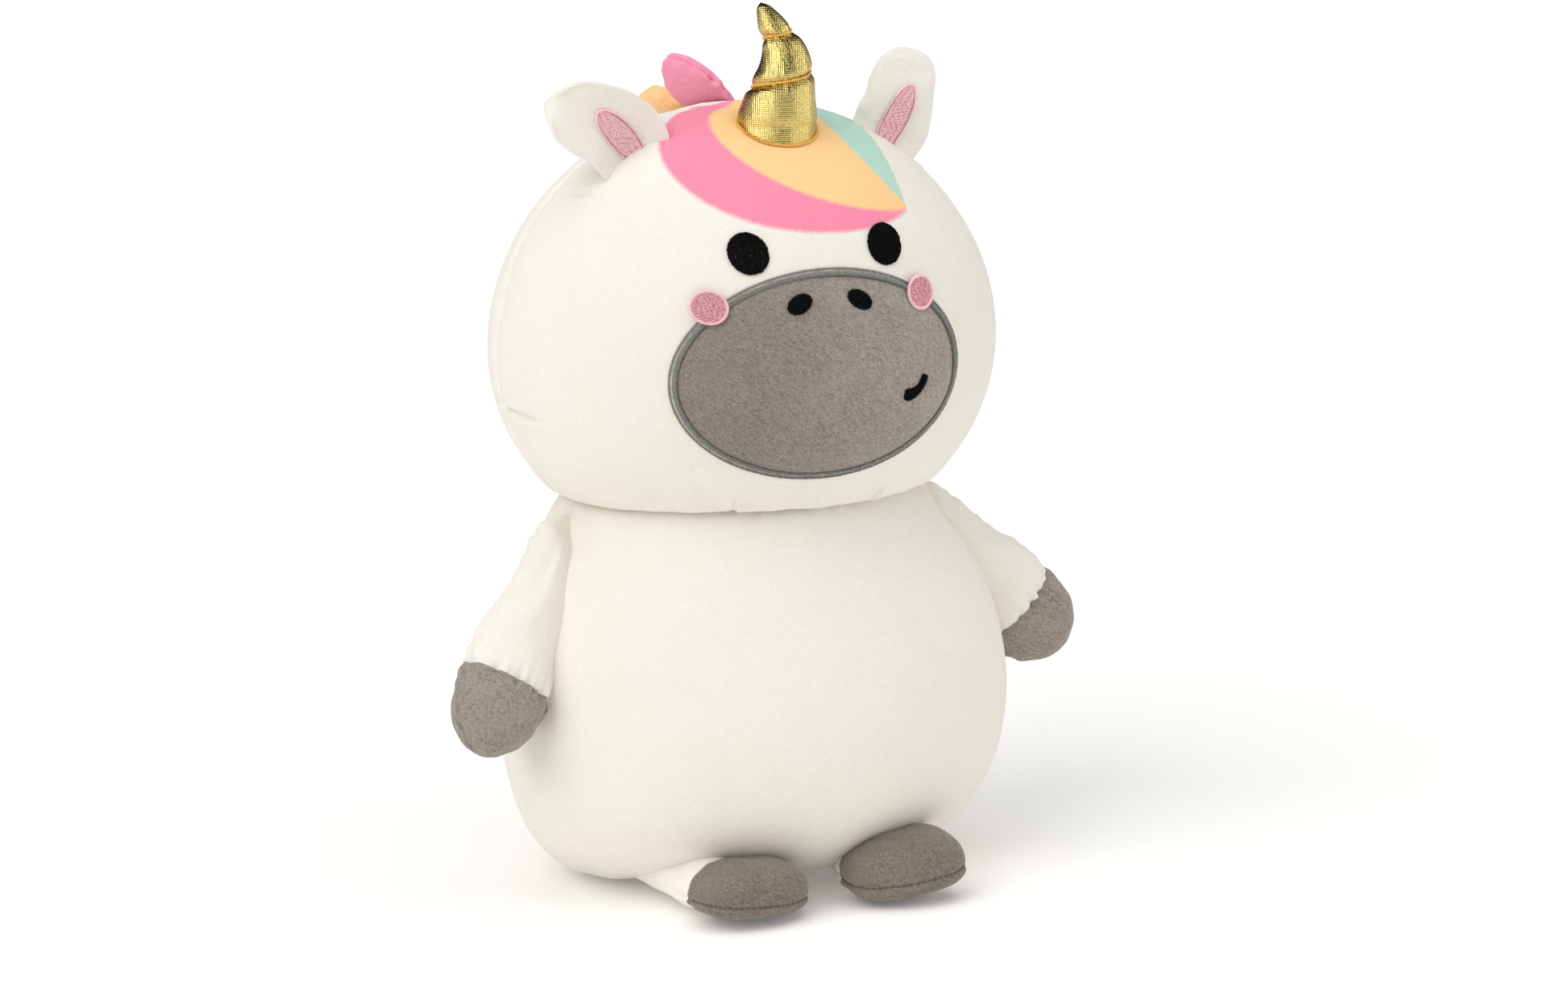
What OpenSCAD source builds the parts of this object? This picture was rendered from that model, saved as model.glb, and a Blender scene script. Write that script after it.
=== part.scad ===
// Stuffed toy unicorn that stands on a flat seat and two hooves.
// Millimetres. The floor is z = 0, the face looks along -Y, and +X is the toy's own left side.

/* [Head] */
// Half of the head's width
head_half_width = 97; // [94:1:99]
// Half of the head's depth, front to back
head_half_depth = 75; // [73:1:77]
// Height of the head's widest level above the floor
head_level = 203; // [202:1:205]
// From the widest level up to the crown
head_rise = 89; // [87:1:91]
// From the widest level down to where the egg shape would close
head_drop = 81; // [80:1:83]

/* [Face] */
// Half of the muzzle patch's width
muzzle_half_width = 55; // [50:1:57]
// Half of the muzzle patch's height
muzzle_half_height = 36; // [32:1:37]
// Width of the satin stitch round the muzzle
border_width = 3.6; // [2.5:0.1:4]
// Radius of an embroidered eye
eye_radius = 7.3; // [6:0.1:8.5]
// Radius of an embroidered cheek
cheek_radius = 7; // [5:0.1:7.5]

/* [Fabric] */
// Thickness of the plush with its short pile
fabric = 1.6; // [1.2:0.1:1.8]
// Thickness of an embroidered patch
thread = 0.8; // [0.5:0.1:0.9]

/* [Poses] */
// How far each arm leans out from straight down, toy's right and left
arm_out = [31, 43]; // [20:1:45]
// How far each arm leans forward, toy's right and left
arm_forward = [22, 1]; // [0:1:26]
// How far each ear leans out from upright, toy's right and left
ear_out = [68, 26]; // [15:1:70]

/* [Hidden] */

white = "ivory";
grey = "#9a918c";
pink = "#ee86b0";
orange = "#f7c487";
mint = "#b4dccb";
gold = "goldenrod";

gap = 0.1;            // between a cover and the stuffing inside it
panel_gap = 0.12;     // between two panels of one cover that share a node
columns = 12;         // facets round half of a section

// The two sides: index 0 is the toy's right (-X), index 1 its left (+X)
side_sign = [-1, 1];

// Torso stations: height, half width, front half depth, back half depth, y of the centre
torso = [
    [2.1, 58, 38, 38, 22],
    [8, 74, 50, 52, 12],
    [18, 85, 60, 63, 5],
    [28, 90.5, 66, 68, 2],
    [40, 94.5, 71, 72, 0],
    [55, 97.5, 75, 75.5, 0],
    [72, 99, 77, 77, 0],
    [88, 98, 76, 76, 0],
    [100, 95, 73.5, 73.5, 0],
    [111, 90.5, 70, 70, 0],
    [122, 84.5, 65.5, 65.5, 0],
    [134, 77.5, 60, 60, 0],
    [146, 70.5, 54, 54, 0]
];
torso_dome = [[147.6, 60, 46, 46, 0], [148.4, 44, 34, 34, 0]];
torso_top = 148.6;
seat_shift = 4;        // how far the seat is to the left of the head's middle

neck_pivot = [0, 0, 160];
neck_ball = 30;
neck_clearance = 0.6;
head_cut = 152.5;

shoulder = [[-79, -7, 130.5], [75.5, -3, 130.5]];
shoulder_disc = 12.5;  // radius of the arm's round root
arm_room_turns = [[0, 5], [-12, -6, 0]];
hip = [[-41, -17, 11.2], [41, -17, 11.2]];
hip_roll = 8.6;        // radius of the leg's round root
leg_room_lifts = [0, 5];
toe_in = [15, 6];      // degrees each leg turns towards the middle
leg_rise = 1.2;        // degrees each leg's axis climbs towards the hoof
room = 0.8;            // how far the torso stays off an arm or a leg

// Flat-lobed pieces: their stations as distance from the root, half width and half thickness,
// then the distance of the tip, the sideways bend in degrees and the length it bends over
arm = [[
    [-11, 5.9, 5], [-7, 10.3, 8], [0, 12.5, 9.6], [12, 13.6, 10.4], [26, 15.8, 11.8],
    [40, 17.9, 13], [53, 19.3, 13.6],
    [61, 19.2, 13.4], [69, 17.4, 12.4], [75, 13.4, 10], [79, 8, 6.4]
], 81, 0, 1];
arm_seam = 6;          // station where the sleeve meets the hoof
leg = [[
    [-8, 13.4, 3.6], [-4.4, 16.8, 7.4], [0, 18, 8.6], [12, 19.2, 9.6], [24, 20.6, 10.4],
    [38, 22.4, 11],
    [45, 23, 11.2], [52, 22.4, 11], [57.5, 19.6, 9.8], [61.5, 14.4, 7.8], [64, 8, 4.8]
], 65.2, 0, 1];
leg_seam = 5;
ear_slope = 30;        // the head's slope where the ears stand
ear_bend_length = 14;
ear_stations = [
    [0, 15.4, 2], [4, 15.6, 4], [10, 15, 5.2], [18, 13.9, 5.6], [25, 12.5, 5.4],
    [30, 10, 4.8], [33.2, 6.6, 3.6]
];
function ear(side) = [ear_stations, 35, side_sign[side] * (ear_out[side] - ear_slope), ear_bend_length];
ear_foot = 1.6;        // the ear's root stands this far off the head
lobe = [[
    [0, 11.6, 1.8], [4, 13, 4], [9, 13.4, 5.9], [15, 12.2, 6.3], [20, 9.4, 5.2], [23.5, 5.6, 3.4]
], 25.4, 16, 24];
tail_lobe = [[[0, 2.6, 2], [5, 4.6, 4.2], [11, 6.6, 6], [17, 6.8, 6], [21, 4.8, 4.2]], 23.5, 0, 1];

// Horn stations: centre, radius, and how far the ring leans with the head's slope
horn = [
    [[1.6, -26, 288.2], 14.2, 23], [[2.1, -27, 292.5], 13.2, 20], [[2.1, -28.2, 297.5], 12.1, 15],
    [[2.7, -29.3, 303], 10.7, 10], [[3.5, -29.8, 309], 9, 4], [[3.1, -29.3, 315], 7.4, 0],
    [[0.6, -28.2, 320.5], 5.9, -8], [[-1.4, -26.4, 325.5], 4.4, -18], [[-3, -24.4, 329.5], 2.5, -26]
];
horn_tip = [-3.8, -23.4, 331.5];

// ---------- sections and closed meshes ----------

function arc(from, to, n) = [for (i = [0:n]) from + (to - from) * i / n];

// One row of points of an oval section at height z; front and back may differ in depth
function oval_row(z, a, front, back, cx, cy, angles) =
    [for (t = angles) [cx + a * cos(t), cy + (sin(t) < 0 ? front : back) * sin(t), z]];
// The seat sits a little to the toy's left of the neck
function torso_x(z) = seat_shift * cos(90 * z / torso_top);
function torso_row(s, inset, angles) =
    oval_row(s[0], s[1] - inset, s[2] - inset, s[3] - inset, torso_x(s[0]), s[4], angles);
function bend_at(piece, d) = piece[2] * min(max(d, 0) / piece[3], 1);
function centre_at(piece, d) = piece[2] == 0 ? [0, 0, d] :
    let (turn = bend_at(piece, d), r = piece[3] * 180 / (PI * piece[2]), past = max(d - piece[3], 0))
        [r * (1 - cos(turn)) + past * sin(turn), 0, r * sin(turn) + past * cos(turn) + min(d, 0)];
function flap_row(piece, s, inset, angles) =
    let (t = bend_at(piece, s[0]), w = max(s[1] - inset, 0.6), h = max(s[2] - inset, 0.4))
        [for (a = angles) centre_at(piece, s[0]) + [w * cos(a) * cos(t), h * sin(a), -w * cos(a) * sin(t)]];
function horn_row(s, inset, angles) = [for (t = angles)
    s[0] + (s[1] - inset) * [cos(t), sin(t) * cos(s[2]), sin(t) * sin(s[2])]];

// Head section at an angle above or below its widest level
function head_row(lift, inset, angles) =
    oval_row(
        head_level + (lift < 0 ? head_drop - inset : head_rise - inset) * sin(lift),
        (head_half_width - inset) * cos(lift), (head_half_depth - inset) * cos(lift),
        (head_half_depth - inset) * cos(lift), 0, 0, angles);
function head_cut_angle(inset) = asin((head_cut - head_level) / (head_drop - inset));
function head_lifts(inset) = arc(head_cut_angle(inset), 82, 10);

function flat(rows) = [for (r = rows) each r];

// Side walls between rows of n points; closed rows wrap round
function wall(rows, n, start, closed, flip) = [
    for (i = [0:rows - 2]) for (j = [0:n - (closed ? 1 : 2)])
        let (a = start + i * n + j, b = start + i * n + (j + 1) % n)
            each flip ? [[a, b, b + n], [a, b + n, a + n]] : [[a, a + n, b + n], [a, b + n, b]]
];
// Triangles from the last row to a pole
function crown(row_start, n, pole, closed, flip) = [
    for (j = [0:n - (closed ? 1 : 2)])
        let (a = row_start + j, b = row_start + (j + 1) % n) flip ? [a, b, pole] : [a, pole, b]
];

// A closed solid through whole rows, ending in a flat foot and a pole
module stuffed(rows, pole) {
    n = len(rows[0]);
    m = len(rows);
    polyhedron(concat(flat(rows), [pole]), concat(
        wall(m, n, 0, true, false), crown((m - 1) * n, n, m * n, true, false),
        [[for (j = [0:n - 1]) j]]));
}

// A cover of even thickness between outer and inner rows, open at the foot.
// Open rows make one panel with its two seam edges; closed rows make a tube.
// Without poles the far end stays open too.
module cover(outer, inner, poles = [], closed = false) {
    n = len(outer[0]);
    m = len(outer);
    k = m * n + (len(poles) > 0 ? 1 : 0);
    top = (m - 1) * n;
    last = n - 1;
    points = len(poles) > 0
        ? concat(flat(outer), [poles[0]], flat(inner), [poles[1]])
        : concat(flat(outer), flat(inner));
    foot = [for (j = [0:n - (closed ? 1 : 2)]) let (b = (j + 1) % n)
        each [[j, b, k + b], [j, k + b, k + j]]];
    rim = [for (j = [0:n - (closed ? 1 : 2)]) let (a = top + j, b = top + (j + 1) % n)
        each [[a, k + a, k + b], [a, k + b, b]]];
    edges = closed ? [] : [for (i = [0:m - 2]) let (a = i * n, b = a + last)
        each [[a, k + a, k + a + n], [a, k + a + n, a + n],
              [b, b + n, k + b + n], [b, k + b + n, k + b]]];
    po = m * n;
    tips = closed || len(poles) == 0 ? [] : [
        [top, k + top, k + po], [top, k + po, po],
        [top + last, po, k + po], [top + last, k + po, k + top + last]];
    polyhedron(points, concat(
        wall(m, n, 0, closed, false), wall(m, n, k, closed, true), foot, edges, tips,
        len(poles) > 0
            ? concat(crown(top, n, po, closed, false), crown(k + top, n, k + po, closed, true))
            : rim));
}

front_half = arc(180, 360, columns);
back_half = arc(0, 180, columns);
whole = [for (i = [0:2 * columns - 1]) i * 180 / columns];

// One panel of a flat-lobed piece, from one station to another or on to the tip
module flap_panel(piece, angles, from = 0, to = -1) {
    used = [for (i = [from:to < 0 ? len(piece[0]) - 1 : to]) piece[0][i]];
    cover([for (s = used) flap_row(piece, s, 0, angles)],
          [for (s = used) flap_row(piece, s, fabric, angles)],
          to < 0 ? [centre_at(piece, piece[1]), centre_at(piece, piece[1] - fabric)] : []);
}
module flap_stuffing(piece) {
    foot = piece[0][0] + [gap, 0, 0];
    used = concat([foot], [for (i = [1:len(piece[0]) - 1]) piece[0][i]]);
    stuffed([for (s = used) flap_row(piece, s, fabric + gap, whole)],
            centre_at(piece, piece[1] - fabric - gap));
}
module flap_cover(piece) {
    for (e = [-1, 1]) translate([0, e * panel_gap / 2, 0])
        flap_panel(piece, e < 0 ? front_half : back_half);
}

// ---------- placing the limbs ----------

module at_shoulder(side, turn = 0)
    translate(shoulder[side]) rotate([-arm_forward[side], 0, 0])
        rotate([0, 180 - side_sign[side] * (arm_out[side] + turn), 0]) children();
module at_hip(side, lift = 0)
    translate(hip[side]) rotate([0, 0, -side_sign[side] * toe_in[side]])
        rotate([90 - leg_rise - lift, 0, 0]) children();

ear_root = [for (s = side_sign) [s * 51.5, -11, 278.6]];
module at_ear(side)
    translate(ear_root[side]) rotate([0, side_sign[side] * ear_slope, 0])
        translate([0, 0, ear_foot]) children();

// A place on the head's centre line, an angle back from the crown
function crest_point(back) = [0, head_half_depth * sin(back), head_level + head_rise * cos(back)];
function crest_slope(back) = atan2(head_half_depth * cos(back), head_rise * sin(back));
lobe_back = [18, 38, 58];
lobe_lean = [0, -3, 2];
lobe_over = [46, 40, 34];  // how far each lobe lies over to the toy's right
module at_crest(i)
    translate(crest_point(lobe_back[i])) rotate([crest_slope(lobe_back[i]) - 90, 0, 0])
        translate([0, 0, 2.2]) rotate([0, lobe_lean[i], 90]) rotate([-lobe_over[i], 0, 0]) children();

tail_root = [[3, 78.6, 68], [3, 79, 59.5], [3, 78.6, 51]];
tail_angle = [24, 0, -24];
module at_tail(i) translate(tail_root[i]) rotate([tail_angle[i] - 90, 0, 0]) rotate([0, 0, 90]) children();

// ---------- sockets in the torso ----------

// The torso's hollows for an arm and a leg, at rest and over the travel that stays close to it
module grown(piece)
    stuffed([for (s = piece[0]) flap_row(piece, s, -room, whole)], centre_at(piece, piece[1] + room));
module arm_room(side) {
    for (turn = arm_room_turns[side]) at_shoulder(side, turn) grown(arm);
    at_shoulder(side) rotate([90, 0, 0])
        cylinder(r = shoulder_disc + room, h = 2 * (arm[0][2][2] + room), center = true, $fn = 36);
}
module leg_room(side) {
    for (lift = leg_room_lifts) at_hip(side, lift) grown(leg);
    at_hip(side) rotate([0, 90, 0])
        cylinder(r = hip_roll + room, h = 2 * (leg[0][2][1] + room), center = true, $fn = 36);
}
module sockets() {
    for (side = [0, 1]) {
        arm_room(side);
        leg_room(side);
    }
}

// The bag of beads lies on the base panel
pouch_center = [seat_shift, 21, 8.6];
module pouch_shape(grow)
    hull() for (x = [-22, 22]) for (y = [-6, 6])
        translate(pouch_center + [x, y, 0]) scale([1, 1, 0.52]) sphere(11.5 + grow, $fn = 18);
// The stuffing's hollow for the bag, open below
module pouch_room() for (drop = [0, 4]) translate([0, 0, -drop]) pouch_shape(0.3);

// ---------- torso ----------

module torso_panel(angles) {
    difference() {
        cover([for (s = torso) torso_row(s, 0, angles)],
              [for (s = torso) torso_row(s, fabric, angles)]);
        sockets();
    }
}
module torso_front_panel() { color(white) torso_panel(front_half); }
module torso_back_panel() { color(white) torso_panel(back_half); }
module base_panel() {
    color(white) linear_extrude(2)
        polygon([for (t = arc(0, 350, 35)) [seat_shift + 58 * cos(t), 22 + 38 * sin(t)]]);
}
module torso_stuffing() {
    color("white") difference() {
        stuffed([for (s = concat(torso, torso_dome)) torso_row(s, fabric + gap, whole)],
                [torso_x(torso_top), 0, torso_top - fabric - gap]);
        sockets();
        pouch_room();
        translate(neck_pivot) sphere(neck_ball + neck_clearance, $fn = 32);
    }
}
module bead_pouch() { color("wheat") pouch_shape(0); }

// ---------- head ----------

module head_panel(angles) {
    cover([for (l = head_lifts(0)) head_row(l, 0, angles)],
          [for (l = head_lifts(fabric)) head_row(l, fabric, angles)],
          [[0, 0, head_level + head_rise], [0, 0, head_level + head_rise - fabric]]);
}
module head_front_panel() { color(white) head_panel(front_half); }
module head_back_panel() { color(white) head_panel(back_half); }
module head_stuffing() {
    inset = fabric + gap;
    color("white") stuffed(
        [for (l = head_lifts(inset)) head_row(l, inset, whole)],
        [0, 0, head_level + head_rise - inset]);
}
module neck_stuffing() {
    color("white") intersection() {
        translate(neck_pivot) sphere(neck_ball);
        translate([-50, -50, 100]) cube([100, 100, head_cut - gap - 100]);
    }
}

// ---------- face ----------

// The y of the head's front at a place on the face
function face_y(x, z) = -head_half_depth * sqrt(max(0,
    1 - pow(x / head_half_width, 2) - pow((z - head_level) / (z < head_level ? head_drop : head_rise), 2)));
function face_point(x, z, off) = [x, face_y(x, z) - off, z];
// A row of an oval on the face: centre, radii, turn, share of the radii and height off the head
function face_row(c, r, turn, share, off) = [for (t = whole)
    let (u = share * r[0] * cos(t), v = share * r[1] * sin(t))
        face_point(c[0] + u * cos(turn) - v * sin(turn), c[1] + u * sin(turn) + v * cos(turn), off)];
module face_patch(c, r, off, thick, turn = 0, steps = 3) {
    n = 2 * columns;
    rows = concat(
        [for (i = [1:steps]) face_row(c, r, turn, i / steps, off)],
        [for (i = [steps:-1:1]) face_row(c, r, turn, i / steps, off + thick)]);
    m = len(rows);
    polyhedron(concat([face_point(c[0], c[1], off)], flat(rows), [face_point(c[0], c[1], off + thick)]),
        concat(
            [for (j = [0:n - 1]) [0, 1 + j, 1 + (j + 1) % n]],
            wall(m, n, 1, true, false),
            crown(1 + (m - 1) * n, n, 1 + m * n, true, false)));
}
// A ring on the face, as a square-edged band
module face_ring(c, r, width, off, thick) {
    n = 2 * columns;
    outer = [r[0] + width, r[1] + width];
    rows = [face_row(c, r, 0, 1, off), face_row(c, outer, 0, 1, off),
            face_row(c, outer, 0, 1, off + thick), face_row(c, r, 0, 1, off + thick)];
    polyhedron(flat(rows), concat(
        wall(4, n, 0, true, false),
        [for (j = [0:n - 1]) let (a = 3 * n + j, b = 3 * n + (j + 1) % n, c = j, d = (j + 1) % n)
            each [[a, c, d], [a, d, b]]]));
}
muzzle_center = [0, 202];
seat_off = 0.35;       // how far a flat-faced patch stands off the faceted head
module muzzle_patch() {
    color(grey) face_patch(muzzle_center, [muzzle_half_width, muzzle_half_height], seat_off, fabric, 0, 5);
}
module muzzle_border() {
    color("#8a8a88") face_ring(muzzle_center,
        [muzzle_half_width + 0.5, muzzle_half_height + 0.5], border_width, seat_off, fabric + thread);
}
module eye(side) {
    color("black") face_patch([side_sign[side] * 27, 246], [eye_radius, eye_radius * 0.98], seat_off, thread, 0, 2);
}
cheek_off = seat_off + fabric + thread + 0.3;
cheek_place = [[-43.2, 228], [40.4, 228]];
module cheek(side) {
    color(pink) face_patch(cheek_place[side], [cheek_radius, cheek_radius * 0.88], cheek_off, thread, 0, 2);
}
patch_off = seat_off + fabric + 0.3;
module nostrils() {
    color("black") for (s = side_sign)
        face_patch([s * 12, 229], [4.4, 2.9], patch_off, thread, -s * 24, 2);
}
module mouth() {
    color("black") face_patch([35.4, 194.4], [7, 2.4], patch_off, thread, 34, 2);
}

// ---------- horn ----------

function horn_scaled(inset) = [for (s = horn) horn_row(s, min(inset, s[1] - 0.5), whole)];
module horn_cover() {
    color(gold) cover(horn_scaled(0), horn_scaled(fabric / 2),
        [horn_tip, horn_tip - [0, 0, 1.2]], true);
}
module horn_stuffing() {
    inset = fabric / 2 + gap;
    used = [for (i = [0:len(horn) - 2]) horn[i]];
    color("white") stuffed([for (s = used) horn_row(s, inset, whole)], horn[len(horn) - 1][0]);
}
// A tube through points, each ring square to the path's direction
function unit(v) = v / norm(v);
function tube_ring(p, dir, r, sides) =
    let (d = unit(dir), a = unit(cross(d, abs(d[2]) < 0.9 ? [0, 0, 1] : [1, 0, 0])), b = cross(d, a))
        [for (k = [0:sides - 1]) p + r * (cos(360 * k / sides) * a + sin(360 * k / sides) * b)];
module tube(path, r, sides = 6) {
    last = len(path) - 1;
    rows = [for (i = [0:last])
        tube_ring(path[i], path[min(i + 1, last)] - path[max(i - 1, 0)], r, sides)];
    m = len(rows);
    polyhedron(flat(rows), concat(
        wall(m, sides, 0, true, false),
        [[for (j = [0:sides - 1]) j], [for (j = [sides - 1:-1:0]) (m - 1) * sides + j]]));
}
// A point on the horn, at a place along its stations, off its surface
function horn_at(place, angle, off) =
    let (i = min(floor(place), len(horn) - 2), f = place - i, a = horn[i], b = horn[i + 1],
         c = a[0] * (1 - f) + b[0] * f, r = a[1] * (1 - f) + b[1] * f + off, tilt = a[2] * (1 - f) + b[2] * f)
        c + r * [cos(angle), sin(angle) * cos(tilt), sin(angle) * sin(tilt)];
thread_radius = 0.55;
thread_turns = 2.4;
module horn_thread() {
    color("#d8a021") tube([for (f = arc(0, 1, 44))
        horn_at(0.8 + 6.6 * f, -150 + 360 * thread_turns * f, thread_radius + 0.25)], thread_radius);
}
module horn_base_seam() {
    ring = [for (t = arc(0, 352, 44))
        let (x = horn[0][0][0] + 14.9 * cos(t), y = horn[0][0][1] + 12.9 * sin(t))
            [x, y, head_level + head_rise * sqrt(1 - pow(x / head_half_width, 2)
                - pow(y / head_half_depth, 2)) + thread_radius + 0.2]];
    color("#d8a021") tube(ring, thread_radius);
}

// ---------- ears ----------

// The embroidery on an ear's front: a long oval, laid along the ear's bend
ear_patch_centre = 11.5;
ear_patch_size = [5, 10.5];
function ear_front(side, x, d, off) =
    let (t = bend_at(ear(side), d), h = 6.6 * sqrt(max(0, 1 - pow(x / 15.2, 2))) * min(1, 0.5 + d / 20) + 0.1)
        centre_at(ear(side), d) + [x * cos(t), -h - off, -x * sin(t)];
module ear_patch(side) {
    n = 2 * columns;
    function row(share, off) = [for (t = whole) ear_front(side,
        ear_patch_size[0] * share * cos(t), ear_patch_centre + ear_patch_size[1] * share * sin(t), off)];
    rows = [row(0.5, 0), row(1, 0), row(1, thread), row(0.5, thread)];
    color(pink) at_ear(side) polyhedron(
        concat([ear_front(side, 0, ear_patch_centre, 0)], flat(rows),
            [ear_front(side, 0, ear_patch_centre, thread)]),
        concat([for (j = [0:n - 1]) [0, 1 + j, 1 + (j + 1) % n]], wall(4, n, 1, true, false),
            crown(1 + 3 * n, n, 1 + 4 * n, true, false)));
}
module ear_panel(side, angles) { color(white) at_ear(side) flap_panel(ear(side), angles); }
module ear_stuffing(side) { color("white") at_ear(side) flap_stuffing(ear(side)); }

// ---------- mane and tail ----------

mane_colour = [pink, orange, mint];
module mane_cover(i) { color(mane_colour[i]) at_crest(i) flap_cover(lobe); }
module mane_stuffing(i) { color("white") at_crest(i) flap_stuffing(lobe); }
module tail_cover(i) { color(mane_colour[i]) at_tail(i) flap_cover(tail_lobe); }
module tail_stuffing() { color("white") for (i = [0:2]) at_tail(i) flap_stuffing(tail_lobe); }

// ---------- arms and legs ----------

module sleeve(side, angles) { color(white) at_shoulder(side) flap_panel(arm, angles, 0, arm_seam); }
module hand_hoof(side, angles) { color(grey) at_shoulder(side) flap_panel(arm, angles, arm_seam); }
module arm_stuffing(side) { color("white") at_shoulder(side) flap_stuffing(arm); }
module leg_panel(side, angles) { color(white) at_hip(side) flap_panel(leg, angles, 0, leg_seam); }
module foot_hoof(side, angles) { color(grey) at_hip(side) flap_panel(leg, angles, leg_seam); }
module leg_stuffing(side) { color("white") at_hip(side) flap_stuffing(leg); }

torso_front_panel();
torso_back_panel();
base_panel();
torso_stuffing();
bead_pouch();
head_front_panel();
head_back_panel();
head_stuffing();
neck_stuffing();
muzzle_patch();
muzzle_border();
eye(0);  // right_eye
eye(1);  // left_eye
cheek(0);  // right_cheek
cheek(1);  // left_cheek
nostrils();
mouth();
horn_base_seam();
horn_cover();
horn_stuffing();
horn_thread();
ear_panel(0, front_half);  // right_ear_front
ear_panel(0, back_half);  // right_ear_back
ear_stuffing(0);  // right_ear_stuffing
ear_patch(0);  // right_ear_patch
ear_panel(1, front_half);  // left_ear_front
ear_panel(1, back_half);  // left_ear_back
ear_stuffing(1);  // left_ear_stuffing
ear_patch(1);  // left_ear_patch
mane_cover(0);  // mane_pink_cover
mane_stuffing(0);  // mane_pink_stuffing
mane_cover(1);  // mane_orange_cover
mane_stuffing(1);  // mane_orange_stuffing
mane_cover(2);  // mane_mint_cover
mane_stuffing(2);  // mane_mint_stuffing
sleeve(0, front_half);  // right_sleeve_front
sleeve(0, back_half);  // right_sleeve_back
hand_hoof(0, front_half);  // right_hand_hoof_front
hand_hoof(0, back_half);  // right_hand_hoof_back
arm_stuffing(0);  // right_arm_stuffing
sleeve(1, front_half);  // left_sleeve_front
sleeve(1, back_half);  // left_sleeve_back
hand_hoof(1, front_half);  // left_hand_hoof_front
hand_hoof(1, back_half);  // left_hand_hoof_back
arm_stuffing(1);  // left_arm_stuffing
leg_panel(0, back_half);  // right_leg_top
leg_panel(0, front_half);  // right_leg_under
foot_hoof(0, back_half);  // right_foot_hoof_top
foot_hoof(0, front_half);  // right_foot_hoof_sole
leg_stuffing(0);  // right_leg_stuffing
leg_panel(1, back_half);  // left_leg_top
leg_panel(1, front_half);  // left_leg_under
foot_hoof(1, back_half);  // left_foot_hoof_top
foot_hoof(1, front_half);  // left_foot_hoof_sole
leg_stuffing(1);  // left_leg_stuffing
tail_cover(0);  // tail_pink
tail_cover(1);  // tail_orange
tail_cover(2);  // tail_mint
tail_stuffing();
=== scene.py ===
# %% [markdown]
# # A stuffed toy unicorn
#
# This lesson makes the cloth, thread and foil of a plush unicorn around a CAD frame that is already
# finished. The frame says where every part is and how it moves. Here each part gets what the maker's
# hands gave it: panels that swell between their seams, embroidery made of real threads, a printed
# forelock and a horn of foiled cloth. Lengths are written in millimetres and turned into metres when
# a mesh is made.

# %% The frame
import math

import bpy
import numpy as np
from mathutils import Matrix, Vector
from mathutils.bvhtree import BVHTree


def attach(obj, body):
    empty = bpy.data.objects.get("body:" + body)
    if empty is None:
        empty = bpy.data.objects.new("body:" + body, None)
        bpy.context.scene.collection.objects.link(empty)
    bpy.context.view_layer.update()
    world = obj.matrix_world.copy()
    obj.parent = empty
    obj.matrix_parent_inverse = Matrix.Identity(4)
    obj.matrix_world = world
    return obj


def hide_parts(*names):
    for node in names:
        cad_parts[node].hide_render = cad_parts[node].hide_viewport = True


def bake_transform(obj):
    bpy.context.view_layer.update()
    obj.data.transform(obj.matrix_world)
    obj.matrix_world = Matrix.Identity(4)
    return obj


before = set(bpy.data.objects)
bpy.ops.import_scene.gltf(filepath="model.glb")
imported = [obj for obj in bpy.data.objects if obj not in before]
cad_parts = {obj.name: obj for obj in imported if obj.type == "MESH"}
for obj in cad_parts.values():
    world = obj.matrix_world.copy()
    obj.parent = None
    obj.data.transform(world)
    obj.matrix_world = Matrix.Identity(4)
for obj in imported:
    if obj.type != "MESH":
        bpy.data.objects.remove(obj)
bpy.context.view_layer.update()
MM = 0.001
SIDES = {"right": -1, "left": 1}

# %% [markdown]
# ## Camera, floor and light
#
# Product pictures of pale toys are lit from all round, so that white cloth keeps a soft shade and no
# hard shadow. One broad lamp on the left, a weaker one on the right, one overhead and a bright room
# do that. The horn is a mirror of a kind and would look flat with white all round, so dark cards
# stand round it with two bright ones between them. They are hidden from every ray but the glossy
# ones, and so they change only reflections.

# %% Camera
VIEW_AZIMUTH, VIEW_ELEVATION, VIEW_DISTANCE = -25, 12, 1661
AIM = Vector((13.6, -6.3, 145))


def direction(azimuth, elevation):
    """A unit vector from the toy towards a viewer at that azimuth and elevation, in degrees."""
    a, e = math.radians(azimuth), math.radians(elevation)
    return Vector((math.sin(a) * math.cos(e), -math.cos(a) * math.cos(e), math.sin(e)))


def look(thing, place, target):
    thing.location = place * MM
    thing.rotation_euler = (target - place).to_track_quat("-Z", "Y").to_euler()


camera = bpy.data.objects.new("camera", bpy.data.cameras.new("camera"))
bpy.context.scene.collection.objects.link(camera)
camera.data.lens = 101.7
camera.data.sensor_width = 36
look(camera, AIM + VIEW_DISTANCE * direction(VIEW_AZIMUTH, VIEW_ELEVATION), AIM)
bpy.context.scene.camera = camera
bpy.context.scene.view_settings.view_transform = "Standard"
print("camera at", [round(x, 3) for x in camera.location])

# %% Lamps and room
LAMPS = {  # azimuth, elevation, how wide the lamp looks in degrees, strength
    "key_lamp": (-70, 40, 50, 1.5),
    "fill_lamp": (55, 20, 40, 0.5),
    "top_lamp": (20, 80, 60, 0.95),
}
for lamp_name, (azimuth, elevation, spread, strength) in LAMPS.items():
    lamp = bpy.data.objects.new(lamp_name, bpy.data.lights.new(lamp_name, "SUN"))
    bpy.context.scene.collection.objects.link(lamp)
    lamp.data.angle = math.radians(spread)
    lamp.data.energy = strength
    look(lamp, AIM + 900 * direction(azimuth, elevation), AIM)

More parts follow.
